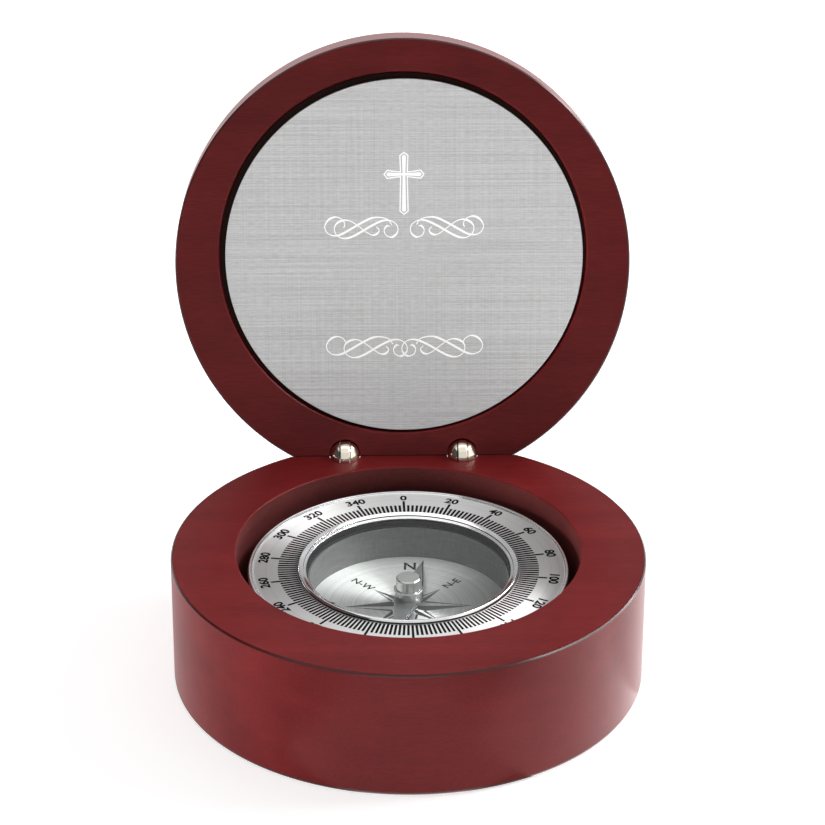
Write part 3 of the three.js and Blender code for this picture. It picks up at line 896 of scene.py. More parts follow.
def pocket_parts(side, lean, lift=0.0):
    """What a hinge takes out of the wood: the profile of a ball and its shank, carried round the shank, and
    lifted along the lid."""
    sizes = bpy.context.scene.compass_hinge
    reach = sizes.ball + sizes.pocket_gap
    meet = math.acos(sizes.shank / reach)
    angle = np.linspace(-RIGHT_ANGLE, meet, 6 * ROUND_STEPS)
    ball = np.stack([reach * np.cos(angle), reach * np.sin(angle)], axis=-1)
    ball[0, 0] = 0
    profile = np.concatenate([ball, [(sizes.shank, sizes.shank_depth), (0, sizes.shank_depth)]])
    points = turned(profile, SMALL_STEPS)
    raised_place = Matrix.Translation(LID.to_3x3() @ Vector((0, -lift, 0))) @ shank_frame(side, lean)
    return grid(moved(points, raised_place))


class COMPASS_OT_base(bpy.types.Operator):
    """The turned wooden base with the dial recess and the hinge pockets"""

    bl_idname = "compass.base"
    bl_label = "Wooden base"

    def execute(self, context):
        sizes = context.scene.compass_wood
        floor = bottom("compass_pad")
        hole = radius("degree_ring") + sizes.ring_clearance
        centre = np.array([0, sizes.recess_setback])
        low, high = bottom("base_body"), top("base_body")
        slab = wood_parts(
            low, high, floor, centre, hole, sizes.recess_round, 0.0, sizes.saw_edge, sizes.sanding
        )
        wood = lacquered_rosewood()
        made = piece("turned_base", [slab], wood, "base", "base_body", slot="lacquered_wood")
        # Painted shade on the rim's bevel and, as a contact shadow, on the lower edge.
        burnish(made, Matrix(), high, centre, hole + 2 * sizes.recess_round, low + sizes.edge_round)
        place = faces_of(made, "center")
        upright = np.abs(faces_of(made, "normal")[:, 2]) < LEANING[0]
        on_wall = upright & (np.linalg.norm(place[:, :2] - centre, axis=1) < hole + MERGE)
        recoat(made, routed_rosewood(), on_wall | (np.abs(place[:, 2] - floor) < MERGE))
        cut(made, [pocket_parts(side, BASE_SHANK) for side in SIDES])
        return {"FINISHED"}


class COMPASS_OT_lid(bpy.types.Operator):
    """The turned wooden lid with the plate recess and the hinge pockets"""

    bl_idname = "compass.lid"
    bl_label = "Wooden lid"

    def execute(self, context):
        sizes = context.scene.compass_wood
        low, high = lid_box("lid_body")
        pad_low, pad_high = lid_box("lid_plate_pad")
        shift = np.array([0, -HINGE_POINT.y])
        centre = ((pad_low + pad_high) / 2)[:2] - shift
        hole = (pad_high[0] - pad_low[0]) / 2 + sizes.glue_gap
        floor = pad_low[2] - sizes.glue_gap
        points, faces, chart = wood_parts(
            low[2], high[2], floor, centre, hole, sizes.plate_edge, sizes.lid_overrun, sizes.lid_saw_edge,
            sizes.lid_sanding,
        )
        slab = (moved(points + (*shift, 0), LID), faces, chart)
        made = piece("turned_lid", [slab], lacquered_rosewood(), "lid", "lid_body", slot="lacquered_wood")
        # Painted shade on the rim's bevel.
        burnish(made, LID.inverted(), high[2], centre + shift, hole + 2 * sizes.plate_edge)
        lift = context.scene.compass_hinge.pocket_lift
        cut(made, [pocket_parts(side, LID_SHANK, lift) for side in SIDES])
        return {"FINISHED"}


# Cross: length of each arm and the turn to it, from the right arm anticlockwise.
CROSS_ARMS = ((3.72 * MM, 0), (4.12 * MM, 1), (3.72 * MM, 2), (7.42 * MM, 3))
# Half widths of upright and bar where they meet, half width of an arm's end, and height of its point.
CROSS_WAIST = (0.7 * MM, 0.54 * MM)
CROSS_END = 0.83 * MM
CROSS_POINT = 0.66 * MM
# The same for the core, and its ends' distance from the outline's.
CORE_WAIST = (0.24 * MM, 0.2 * MM)
CORE_END = 0.36 * MM
CORE_POINT = 0.3 * MM
CORE_MARGIN = 0.52 * MM

# Scroll strokes in millimetres, out from the plate's centre line and up from the scroll's middle.
OUTER_STROKE = [
    (10.9, 0), (10.7, 0.7), (11.2, 1.55), (12.35, 2), (13.6, 1.5), (14.3, 0.3), (13.9, -0.85), (12.8, -1.4),
    (11.4, -1.2), (9.5, -0.15), (7.3, 1.1), (5.7, 1.8), (4.2, 1.85), (2.9, 1.45), (2.2, 0.45),
]
INNER_STROKE = [
    (5, 0.15), (4.5, -0.5), (5.1, -1.25), (6.2, -1.2), (8.2, 0.25), (9.6, 1.2), (10.85, 1.4), (12.1, 0.85),
    (12.6, -0.2), (12.1, -1.4), (10.8, -1.95), (9, -1.45), (5.9, 0.35), (3.9, 1.25), (2.4, 1.25), (1.3, 0.4),
    (1.2, -0.85), (2.2, -1.75), (3.3, -1.35), (3.6, -0.4), (3.1, 0.3), (2.6, 0.25),
]
# The lower scroll is open at its outer loops, and its inner strokes meet over the centre line.
OPEN_LOOP = 1
JOINED_SHIFT = (-0.1, -1.6)
# Slant of the pen's nib, and how fast a stroke thins away from it.
PEN_ANGLE = math.radians(152)
PEN_POWER = 6


def cross_outline(waist, end, point, shorten=0.0):
    """Corners of a cross with pointed arms, anticlockwise: waist, shoulder, tip and shoulder of each arm."""
    arms = np.array(CROSS_ARMS)
    reach = arms[:, 0] - shorten
    quarter = arms[:, 1] * RIGHT_ANGLE
    along = np.stack([reach - point, reach, reach - point], axis=-1)
    across = np.array([-end, 0, end])
    x = along * np.cos(quarter)[:, None] - across * np.sin(quarter)[:, None]
    y = along * np.sin(quarter)[:, None] + across * np.cos(quarter)[:, None]
    corner = np.array([(1, -1), (1, 1), (-1, 1), (-1, -1)]) * waist
    return np.concatenate([corner[:, None], np.stack([x, y], axis=-1)], axis=1).reshape(-1, 2)


def mitred(outline, width):
    """An outline drawn in by a width: a corner moves by the sum of its edges' normals over their overlap."""
    edge = np.roll(outline, -1, axis=0) - outline
    normal = np.stack([-edge[:, 1], edge[:, 0]], axis=-1) / np.linalg.norm(edge, axis=1, keepdims=True)
    before = np.roll(normal, 1, axis=0)
    overlap = 1 + (normal * before).sum(axis=1, keepdims=True)
    return outline + width * (normal + before) / overlap


def raised(rings, heights, close=False):
    """A low relief on flat outlines: rings of equal count joined at their heights."""
    stacked = [np.hstack([ring, np.full((len(ring), 1), level)]) for ring, level in zip(rings, heights)]
    return grid(np.stack(stacked, axis=1), close_v=close)


def scroll_parts(level, shifts, skip, thickness):
    """Two mirrored pairs of pen strokes, widest where they run along the nib, and pointed at their ends."""
    sizes = bpy.context.scene.compass_plate
    parts = []
    for points, shift in zip((OUTER_STROKE[skip:], INNER_STROKE), shifts):
        path = smooth_path(points)
        heading = np.arctan2(*np.gradient(path, axis=0).T[::-1])
        width = sizes.hairline + sizes.swell * np.cos(heading - PEN_ANGLE) ** PEN_POWER
        width[[0, -1]] = 0
        path = (path + (shift, 0)) * MM + (0, level)
        parts.append(ribbon(path, width, thickness))
        parts.append(ribbon((path * (-1, 1))[::-1], width[::-1], thickness))
    return parts


class COMPASS_OT_plate(bpy.types.Operator):
    """The brushed plate in the lid, its pad and the engraved cross and scrolls"""

    bl_idname = "compass.plate"
    bl_label = "Engraved plate"

    def execute(self, context):
        sizes = context.scene.compass_plate
        for name, node, material, slot in (
            ("engraved_plate", "lid_plate", cross_brushed_plate(), "brushed_plate"),
            ("plate_pad", "lid_plate_pad", brown_felt(), "black_foam"),
        ):
            low, high = lid_box(node)
            centre = (low + high) / 2
            profile = disc_profile((high[0] - low[0]) / 2, low[2], high[2], sizes.chamfer, CHAMFER_STEPS)
            points = turned(profile, centre=(centre[0], centre[1], 0))
            piece(name, [grid(moved(points, LID))], material, "lid", node, slot=slot)
        low, high = lid_box("lid_plate")
        centre = (low + high) / 2
        face = LID @ Matrix.Translation((centre[0], centre[1], high[2])) @ Matrix.Rotation(math.pi, 4, "Z")
        deep = sizes.engraving
        outer = cross_outline(CROSS_WAIST, CROSS_END, CROSS_POINT) + (0, sizes.cross_level)
        inner = mitred(outer, sizes.cross_line)
        core = cross_outline(CORE_WAIST, CORE_END, CORE_POINT, CORE_MARGIN) + (0, sizes.cross_level)
        middle_point = np.broadcast_to(np.array([0, sizes.cross_level]), core.shape)
        marks_on_plate = {
            "engraved_cross": [
                raised([inner, outer, outer, inner], [0, 0, deep, deep], close=True),
                raised([middle_point, core, core, middle_point], [0, 0, deep, deep]),
            ],
            "upper_scroll": scroll_parts(sizes.upper_scroll, (0, 0), 0, deep),
            "lower_scroll": scroll_parts(sizes.lower_scroll, JOINED_SHIFT, OPEN_LOOP, deep),
        }
        for name, parts in marks_on_plate.items():
            placed = [(moved(points, face), faces, chart) for points, faces, chart in parts]
            piece(name, placed, frosted_engraving(), "lid", slot="brushed_plate")
        return {"FINISHED"}


class COMPASS_OT_hinges(bpy.types.Operator):
    """The two ball hinges: a fork, a tongue and a pin each"""

    bl_idname = "compass.hinges"
    bl_label = "Ball hinges"

    def execute(self, context):
        sizes = context.scene.compass_hinge
        nickel = polished_nickel()
        inner = sizes.tongue / 2 + sizes.slit
        shank = sizes.shank
        neck = inner + sizes.slit + sizes.ball / 2
        cheek = self.ball_slice(inner, None)
        other = (cheek * (-1, 1))[::-1]
        tongue = self.ball_slice(-sizes.tongue / 2, sizes.tongue / 2)
        flat = np.array([sizes.tongue / 2 / shank, 1, 1])
        stem = turned(disc_profile(shank, neck, sizes.shank_depth, 0, 1), SMALL_STEPS)
        blade = turned(disc_profile(shank, shank, neck, 0, 1), SMALL_STEPS) * flat
        halves = (
            ("fork", "base", BASE_SHANK, (cheek, other), (stem,)),
            ("tongue", "lid", LID_SHANK, (tongue,), (blade, stem)),
        )
        for side in SIDES:
            for half, body, lean, slices, stems in halves:
                place = shank_frame(side, lean)
                parts = [grid(moved(self.about_x(ring), place), close_v=True) for ring in slices]
                parts += [grid(moved(points, place)) for points in stems]
                node = f"hinge_{half}_{side}"
                made = piece(f"ball_{half}_{side}", parts, nickel, body, node, slot="nickel_plate")
                # The faces that line the slits are painted near black: painted shade in the slits.
                recoat(made, oiled_nickel(), np.abs(faces_of(made, "normal")[:, 0]) > LINES_SLIT)
            coat_node(f"hinge_pin_{side}", polished_steel())
        return {"FINISHED"}

    @staticmethod
    def ball_slice(low, high):
        """Profile (x, r) of the ball between two planes, or out to where the bore leaves it."""
        sizes = bpy.context.scene.compass_hinge
        end = math.acos(sizes.bore / sizes.ball)
        start = math.asin((low + sizes.edge) / sizes.ball)
        stop = end if high is None else math.asin((high - sizes.edge) / sizes.ball)
        angle = np.linspace(start, stop, 4 * ROUND_STEPS)
        arc = np.stack([sizes.ball * np.sin(angle), sizes.ball * np.cos(angle)], axis=-1)
        first = [(low, sizes.bore), (low, arc[0, 1] - sizes.edge)]
        last = [] if high is None else [(high, arc[-1, 1] - sizes.edge), (high, sizes.bore)]
        return np.array([*first, *arc, *last])

    @staticmethod
    def about_x(profile):
        """A profile of (x, r) points carried round X: (x, r cos a, r sin a)."""
        angle = np.linspace(0, TURN, SMALL_STEPS, endpoint=False)[:, None]
        across, out = profile[:, 0], profile[:, 1]
        return np.stack([across + 0 * angle, out * np.cos(angle), out * np.sin(angle)], axis=-1)


# Well: thickness of its wall, width of a step under its rim, height of a step and round of the edges.
WELL_WALL = 0.8 * MM
WELL_STEP = 0.15 * MM
WELL_COLLAR = 0.32 * MM
WELL_ROUND = 0.04 * MM
GASKET_ROUND = 0.05 * MM
PANE_ROUND = 0.1 * MM
# Bezel: width and height of its lip on the crystal, and the groove above its foot.
BEZEL_LIP = 0.2 * MM
BEZEL_FOOT = 0.25 * MM
GROOVE_DEPTH = 0.09 * MM
GROOVE_HEIGHT = 0.22 * MM
# Corners of the bezel past the groove: in from its wall or out from the crystal, and down from the crest.
BEZEL_SHOULDER = (0.2 * MM, 0.2 * MM)
BEZEL_CREST = 0.37 * MM
STEP_TOP = (0.3 * MM, 0.34 * MM)
STEP_FOOT = (0.27 * MM, 0.56 * MM)
# Inner edge of the lip, in and up.
LIP_EDGE = (0.04 * MM, 0.15 * MM)
# Rounds of the corners in their order, and steps over each.
BEZEL_ROUNDS = np.array([0.04, 0.04, 0.04, 0.03, 0.02, 0.08, 0.1, 0.03, 0.02, 0.05]) * MM
BEZEL_STEPS = 7
# Room for the centres of a groove's faces, and the upward part of the normal under which a face is upright.
GROOVE_ROOM = 0.01 * MM
STEP_ROOM = 0.03 * MM
UPRIGHT = 0.5


class COMPASS_OT_capsule(bpy.types.Operator):
    """The capsule: housing, pad, washer, liner, gasket, crystal and bezel"""

    bl_idname = "compass.capsule"
    bl_label = "Compass capsule"

    def execute(self, context):
        coat_node("compass_housing", black_abs())
        coat_node("compass_pad", black_foam())
        coat_node("ring_washer", nylon())
        wall = radius("well_liner")
        rim = wall - WELL_WALL
        step = rim + WELL_STEP
        well = rim + 2 * WELL_STEP
        low, high = bottom("well_liner"), top("well_liner")
        first = high - WELL_COLLAR
        second = high - 2 * WELL_COLLAR
        corners = [
            (well, low), (wall, low), (wall, high), (rim, high),
            (rim, first), (step, first), (step, second), (well, second),
        ]
        liner = ring_parts(corners, WELL_ROUND)
        piece("well_wall", liner, brushed_wall(), "base", "well_liner", slot="brushed_grey")
        low, high = bottom("crystal_gasket"), top("crystal_gasket")
        gasket = ring_parts([(well, low), (wall, low), (wall, high), (well, high)], GASKET_ROUND)
        piece("gasket_ring", gasket, gasket_rubber(), "base", "crystal_gasket", slot="gasket_rubber")
        profile = disc_profile(radius("crystal"), bottom("crystal"), top("crystal"), PANE_ROUND)
        pane = [grid(turned(profile, centre=DIAL))]
        piece("crystal_pane", pane, mineral_glass(), "base", "crystal", slot="crystal_glass")
        self.bezel()
        return {"FINISHED"}

    @staticmethod
    def bezel():
        """The bezel's section: a grooved outer wall, a round crest, two slopes down to the crystal with a
        small step between them, and a lip on the crystal."""
        outer = radius("crystal_bezel")
        inside = radius("crystal")
        opening = inside - BEZEL_LIP
        lip, crest = bottom("crystal_bezel"), top("crystal_bezel")
        foot = lip + BEZEL_FOOT
        groove = outer - GROOVE_DEPTH
        groove_top = foot + GROOVE_HEIGHT
        corners = [
            (opening, lip), (inside, lip), (inside, foot), (outer, foot), (groove, groove_top),
            (outer - BEZEL_SHOULDER[0], crest - BEZEL_SHOULDER[1]), (outer - BEZEL_CREST, crest),
            (inside + STEP_TOP[0], crest - STEP_TOP[1]), (inside + STEP_FOOT[0], crest - STEP_FOOT[1]),
            (opening + LIP_EDGE[0], lip + LIP_EDGE[1]),
        ]
        ring = ring_parts(corners, BEZEL_ROUNDS, steps=BEZEL_STEPS)
        made = piece("bezel_ring", ring, polished_chrome(), "base", "crystal_bezel", slot="bezel_chrome")
        centre = faces_of(made, "center")
        out = np.hypot(*(centre[:, :2] - DIAL_XY).T)
        upright = np.abs(faces_of(made, "normal")[:, 2]) < UPRIGHT
        by_foot = (out > groove - GROOVE_ROOM) & (centre[:, 2] < groove_top)
        by_step = np.abs(out - inside - (STEP_TOP[0] + STEP_FOOT[0]) / 2) < STEP_ROOM
        # The upright faces of the groove at the foot and of the step's riser are painted near black as
        # shade.
        recoat(made, blackened_groove(), upright & (by_foot | by_step))


TICK_STEP = math.radians(2)
FIGURE_STEP = math.radians(20)
# Steps over each tooth of the coin edge.
TOOTH_STEPS = 6
# Ring: slopes under and over its coin edge and beside its lips, the groove between them and the gutter.
FOOT_SLOPE = 0.2 * MM
RIM_SLOPE = 0.35 * MM
LIP_SLOPE = 0.06 * MM
LIP_GROOVE = (0.12 * MM, 0.16 * MM)
LIP_GUTTER = (0.16 * MM, 0.12 * MM)
# Rounds of the ring's corners in their order.
RING_ROUNDS = MM * np.array(
    [0.1, 0.1, 0.06, 0.06, 0.05, 0.05, 0.02, 0.02, 0.05, 0.05, 0.02, 0.02, 0.03, 0.1]
)
# Width of the bright band over the lips, and the gap from the bezel to the marks.
BRIGHT_BAND = 0.75 * MM
MARK_GAP = 0.05 * MM
FIGURE_STYLE = {"narrow": 1.05, "weight": 0.035}


class COMPASS_OT_degree_ring(bpy.types.Operator):
    """The degree ring with its coin edge, marks and figures"""

    bl_idname = "compass.degree_ring"
    bl_label = "Degree ring"

    def execute(self, context):
        sizes = context.scene.compass_dial
        reach = radius("degree_ring")
        low, lip = bottom("degree_ring"), top("degree_ring")
        face = lip - sizes.lip_height
        bore = radius("crystal_bezel") - sizes.overhang
        shoulder = reach - sizes.knurl_depth
        groove, groove_floor = LIP_GROOVE[0], lip - LIP_GROOVE[1]
        gutter, gutter_floor = LIP_GUTTER[0], face - LIP_GUTTER[1]
        widths = [0, sizes.lip_width, 0, groove, 0, sizes.lip_width, 0, gutter, 0]
        slopes = LIP_SLOPE * np.array([1, 0, 1, 0, 1, 0, 1, 0, 1])
        inward = shoulder - np.cumsum(widths + slopes)
        levels = [lip, lip, groove_floor, groove_floor, lip, lip, gutter_floor, gutter_floor, face]
        corners = [
            (bore, low), (shoulder, low), (reach, low + FOOT_SLOPE), (reach, lip - RIM_SLOPE),
            *zip(inward, levels), (bore, face),
        ]
        section = softened(corners, RING_ROUNDS, closed=True, steps=CHAMFER_STEPS)
        points = turned(section, TOOTH_STEPS * sizes.knurl_count)
        self.knurl(points, reach, sizes)
        ring = grid(points + np.array(DIAL), close_v=True)
        made = piece("silver_ring", [ring], satin_silver(), "dial_ring", "degree_ring", slot="satin_silver")
        out = np.linalg.norm((faces_of(made, "center") - np.array(DIAL))[:, :2], axis=1)
        recoat(made, bright_lip(), out > shoulder - BRIGHT_BAND)
        bearings = np.arange(0, TURN - TICK_STEP / 2, TICK_STEP) - sizes.print_turn
        numbered = np.arange(0, TURN - FIGURE_STEP / 2, FIGURE_STEP)
        thick = sizes.print_height
        ink = dial_ink()
        ticks = [
            marks(turns, start, end, sizes.tick_width, face, thick)
            for turns, start, end in (
                (bearings, radius("crystal_bezel") + MARK_GAP, sizes.short_tick),
                (numbered - sizes.print_turn, sizes.short_tick, sizes.long_tick),
            )
        ]
        piece("degree_marks", ticks, ink, "dial_ring")
        figures = [
            printed(
                str(round(math.degrees(bearing))), sizes.figure_height, sizes.figure_radius,
                bearing - sizes.print_turn, face, thick, **FIGURE_STYLE,
            )
            for bearing in numbered
        ]
        piece("degree_figures", figures, ink, "dial_ring")
        return {"FINISHED"}

    @staticmethod
    def knurl(points, reach, sizes):
        """Draws the rim in by depth (1 - cos na) / 2, on the points that lie on it."""
        out = np.hypot(points[..., 0], points[..., 1])
        angle = np.arctan2(points[..., 1], points[..., 0])
        wave = sizes.knurl_depth * (1 - np.cos(sizes.knurl_count * angle)) / 2
        on_rim = out > reach - sizes.knurl_depth / 2
        points[..., :2] *= np.where(on_rim, (out - wave) / out, 1)[..., None]


EIGHTH = TURN / 8
CARD_NAMES = ("N", "N-E", "E", "S-E", "S", "S-W", "W", "N-W")
LETTER_STYLE = {"narrow": 0.9, "weight": 0.02}
PAIR_STYLE = {"narrow": 1.1, "weight": 0.015}
CARD_RINGS = 12


class COMPASS_OT_card(bpy.types.Operator):
    """The turned card with its eight-pointed star and letters"""

    bl_idname = "compass.card"
    bl_label = "Compass card"

    def execute(self, context):
        sizes = context.scene.compass_card
        thick = context.scene.compass_dial.print_height
        piece("card_disc", self.disc(), turned_card(), "base", "compass_card", slot="turned_silver")
        level = top("compass_card")
        piece("eight_point_star", self.star(sizes, level, thick), star_ink(), "base")
        letters = []
        for index, text in enumerate(CARD_NAMES):
            bearing = index * EIGHTH
            if len(text) == 1:
                size, out, spin, style = sizes.letter_height, sizes.letter_radius, 0.0, LETTER_STYLE
                bearing += sizes.letter_turn
            else:
                spin = math.copysign(RIGHT_ANGLE, math.sin(bearing))
                size, out, style = sizes.pair_height, sizes.pair_radius, PAIR_STYLE
            letters.append(printed(text, size, out, bearing, level, thick, spin, **style))
        piece("card_letters", letters, dial_ink(), "base")
        coat_node("pivot_base", turned_brass())
        coat_node("pivot_pin", polished_steel())
        return {"FINISHED"}

    @staticmethod
    def disc():
        """The card with rings of points close together, so that its map turns evenly round the pivot."""
        low, high, reach = bottom("compass_card"), top("compass_card"), radius("compass_card")
        rings = np.linspace(reach, 0, CARD_RINGS)
        profile = np.concatenate([[(0, low), (reach, low)], np.stack([rings, 0 * rings + high], axis=-1)])
        return [grid(turned(profile, centre=DIAL))]

    @staticmethod
    def star(sizes, level, thickness):
        """Eight points: the clockwise half of each is printed, and a line edges the other half."""
        index = np.arange(len(CARD_NAMES))
        bearing = index * EIGHTH
        tip = np.where(index % 2, sizes.short_point, sizes.long_point)

        def at(reach, angle):
            """Points (n, xy) at a reach and a bearing from the dial's centre."""
            return np.stack([reach * np.sin(angle), reach * np.cos(angle)], axis=-1) + DIAL_XY

        half = np.where(index % 2, EIGHTH - sizes.notch_turn, sizes.notch_turn)
        clockwise = at(0 * tip + sizes.notch, bearing + half)
        other = at(0 * tip + sizes.notch, bearing - half)
        centre, point = at(0 * tip, bearing), at(tip, bearing)
        halves = np.stack([centre, clockwise, (clockwise + point) / 2, point], axis=1)
        ahead = point - other
        side = np.stack([ahead[:, 1], -ahead[:, 0]], axis=-1) / np.linalg.norm(ahead, axis=1, keepdims=True)
        line = np.stack([other, other + side * sizes.outline, point, (other + point) / 2], axis=1)
        return [prisms(halves, level, thickness), prisms(line, level, thickness)]


# Upward parts of a bevel's normal, and steps along each side of the needle.
BEVEL_LEAN = (0.1, 0.95)
BLADE_STEPS = 24
# Share of the needle's outline that its underside keeps.
UNDERCUT = 0.98
# Round of the sleeve's corners, and those of the hub's in their order.
SLEEVE_ROUND = 0.05 * MM
CAP_ROUNDS = np.array([0, 0.05, 0.05, 0.1, 0.15, 0.05, 0.05, 0.05, 0]) * MM
# How close under the hub's top a face counts as its flat top.
TOP_ROOM = 0.01 * MM


class COMPASS_OT_needle(bpy.types.Operator):
    """The needle, its collar, its hub and the jewel"""

    bl_idname = "compass.needle"
    bl_label = "Needle"

    def execute(self, context):
        sizes = context.scene.compass_needle
        blade = self.blade(sizes)
        steel = needle_steel()
        made = piece("diamond_needle", blade, steel, "needle", "needle_blade", slot="polished_steel")
        lean = faces_of(made, "normal")[:, 2]
        recoat(made, polished_steel(), (lean > BEVEL_LEAN[0]) & (lean < BEVEL_LEAN[1]))
        nickel = turned_nickel()
        bore = sizes.bore
        low, high, reach = bottom("needle_collar"), top("needle_collar"), radius("needle_collar")
        corners = [(bore, low), (reach, low), (reach, high), (bore, high)]
        sleeve = ring_parts(corners, SLEEVE_ROUND, SMALL_STEPS)
        piece("needle_sleeve", sleeve, nickel, "needle", "needle_collar", slot="nickel_plate")
        low, high = bottom("needle_hub"), top("needle_hub")
        crown = top("needle_jewel")
        rim = reach + sizes.rim
        rim_top = low + sizes.rim_height
        corners = [
            (0, crown), (bore, crown), (bore, low), (rim, low), (rim, rim_top), (reach, rim_top),
            (reach, high - sizes.chamfer), (reach - sizes.chamfer, high), (0, high),
        ]
        cap = [grid(turned(softened(corners, CAP_ROUNDS), SMALL_STEPS, DIAL))]
        made = piece("needle_cap", cap, nickel, "needle", "needle_hub", slot="nickel_plate")
        recoat(made, satin_nickel(), faces_of(made, "center")[:, 2] > high - TOP_ROOM)
        coat_node("needle_jewel", ruby())
        return {"FINISHED"}

    @staticmethod
    def blade(sizes):
        """A flat diamond with bevelled edges and a round bore: rings that follow the diamond, drawn in for
        the bevel."""
        flat = points_of(frame["nodes"]["needle_blade"].data)[:, :2] - DIAL_XY
        reach = np.hypot(flat[:, 0], flat[:, 1])
        tip = flat[reach.argmax()]
        if tip[1] < 0:
            tip = -tip
        bearing = math.atan2(tip[0], tip[1])
        long = reach.max()
        across = np.abs(flat @ np.array([math.cos(bearing), -math.sin(bearing)])).max()
        corners = np.array([(0, long), (-across, 0), (0, -long), (across, 0)])
        t = np.linspace(0, 1, BLADE_STEPS, endpoint=False)[None, :, None]
        outline = (corners[:, None] * (1 - t) + np.roll(corners, -1, axis=0)[:, None] * t).reshape(-1, 2)
        hole = outline / np.linalg.norm(outline, axis=1, keepdims=True) * sizes.bore
        inside = long * across / math.hypot(long, across)
        drawn_in = outline * (1 - sizes.bevel / inside)
        low, high = bottom("needle_blade"), top("needle_blade")
        edge = (2 * low + high) / 3
        rings = [hole, outline * UNDERCUT, outline, drawn_in, hole]
        points, faces, chart = raised(rings, [low, low, edge, high, high], close=True)
        place = Matrix.Translation(DIAL) @ Matrix.Rotation(-bearing, 4, "Z")
        return [(moved(points, place), faces, chart)]


# Stage


# Lamps: place, width and height, power, and whether mirrors show them.
LAMPS = (
    ("softbox above", (0.0, 0.2, 0.9), (0.9, 0.9), 2.0, True),
    ("softbox right", (0.7, 0.29, 0.62), (0.6, 0.3), 7.5, False),
    ("low softbox left", (-0.8, 0.0, 0.09), (0.16, 0.16), 4.0, False),
    ("low softbox in front", (0.0, -0.3, 0.06), (0.1, 0.1), 0.1, False),
)
# Point that the lamps face.
LIT_POINT = Vector((0, 0, 0.04))
# Levels of the cards that lie on the floor and of the floor, under the foot of the base.
ON_FLOOR = -0.01 * MM
FLOOR_LEVEL = -0.02 * MM
# Half width of the floor, its stretches, and its glow as light and where it is seen.
FLOOR_REACH = 4
FLOOR_STEPS = 9
FLOOR_GLOW = (0.18, 0.68)
# Cards that mirrors show: corner, two sides and brightness.
CARDS = (
    ("white backdrop", (-1.5, 0.9, 0.0), (3, 0, 0), (0, 0, 0.3), 1.4),
    ("grey backdrop", (-1.5, 0.9, 0.3), (3, 0, 0), (0, 0, 1.1), 0.4),
    ("white card right", (0.02, -0.06, ON_FLOOR), (0.5, 0, 0), (0, 0.05, 0), 3.7),
    ("pale card right", (0.02, -0.01, ON_FLOOR), (0.5, 0, 0), (0, 0.39, 0), 2.4),
    ("grey card left", (-0.4, -0.35, ON_FLOOR), (0.37, 0, 0), (0, 0.5, 0), 1.0),
    ("pale card in front", (-0.03, -0.16, ON_FLOOR), (0.05, 0, 0), (0, 0.12, 0), 2.6),
    ("white card far in front", (-1.4, -2.2, ON_FLOOR), (1.4, 0, 0), (0, 1.8, 0), 1.6),
    ("black card left", (-0.9, -1.1, 0.0), (0, 1.6, 0), (0, 0, 0.9), 0.08),
    ("white card front right", (0.9, -1.1, 0.0), (0, 1.2, 0), (0, 0, 0.9), 1.5),
    ("bright strip right", (0.577, -0.19, 0.804), (0.125, 0.812, -0.454), (0.1, -0.072, -0.101), 24.0),
    ("white ceiling", (-1, -0.8, 0.95), (2, 0, 0), (0, 1.8, 0), 1.2),
)
# A card that only dull surfaces see, which keeps light off the front.
FELT = ("grey felt in front", (-0.8, -1.2, 0.0), (1.6, 0, 0), (0, 1.0, 0), 0.15)
# Width of the sensor in millimetres, and the nearest and farthest that the camera sees.
SENSOR = 36
CLIP = (0.01, 20)


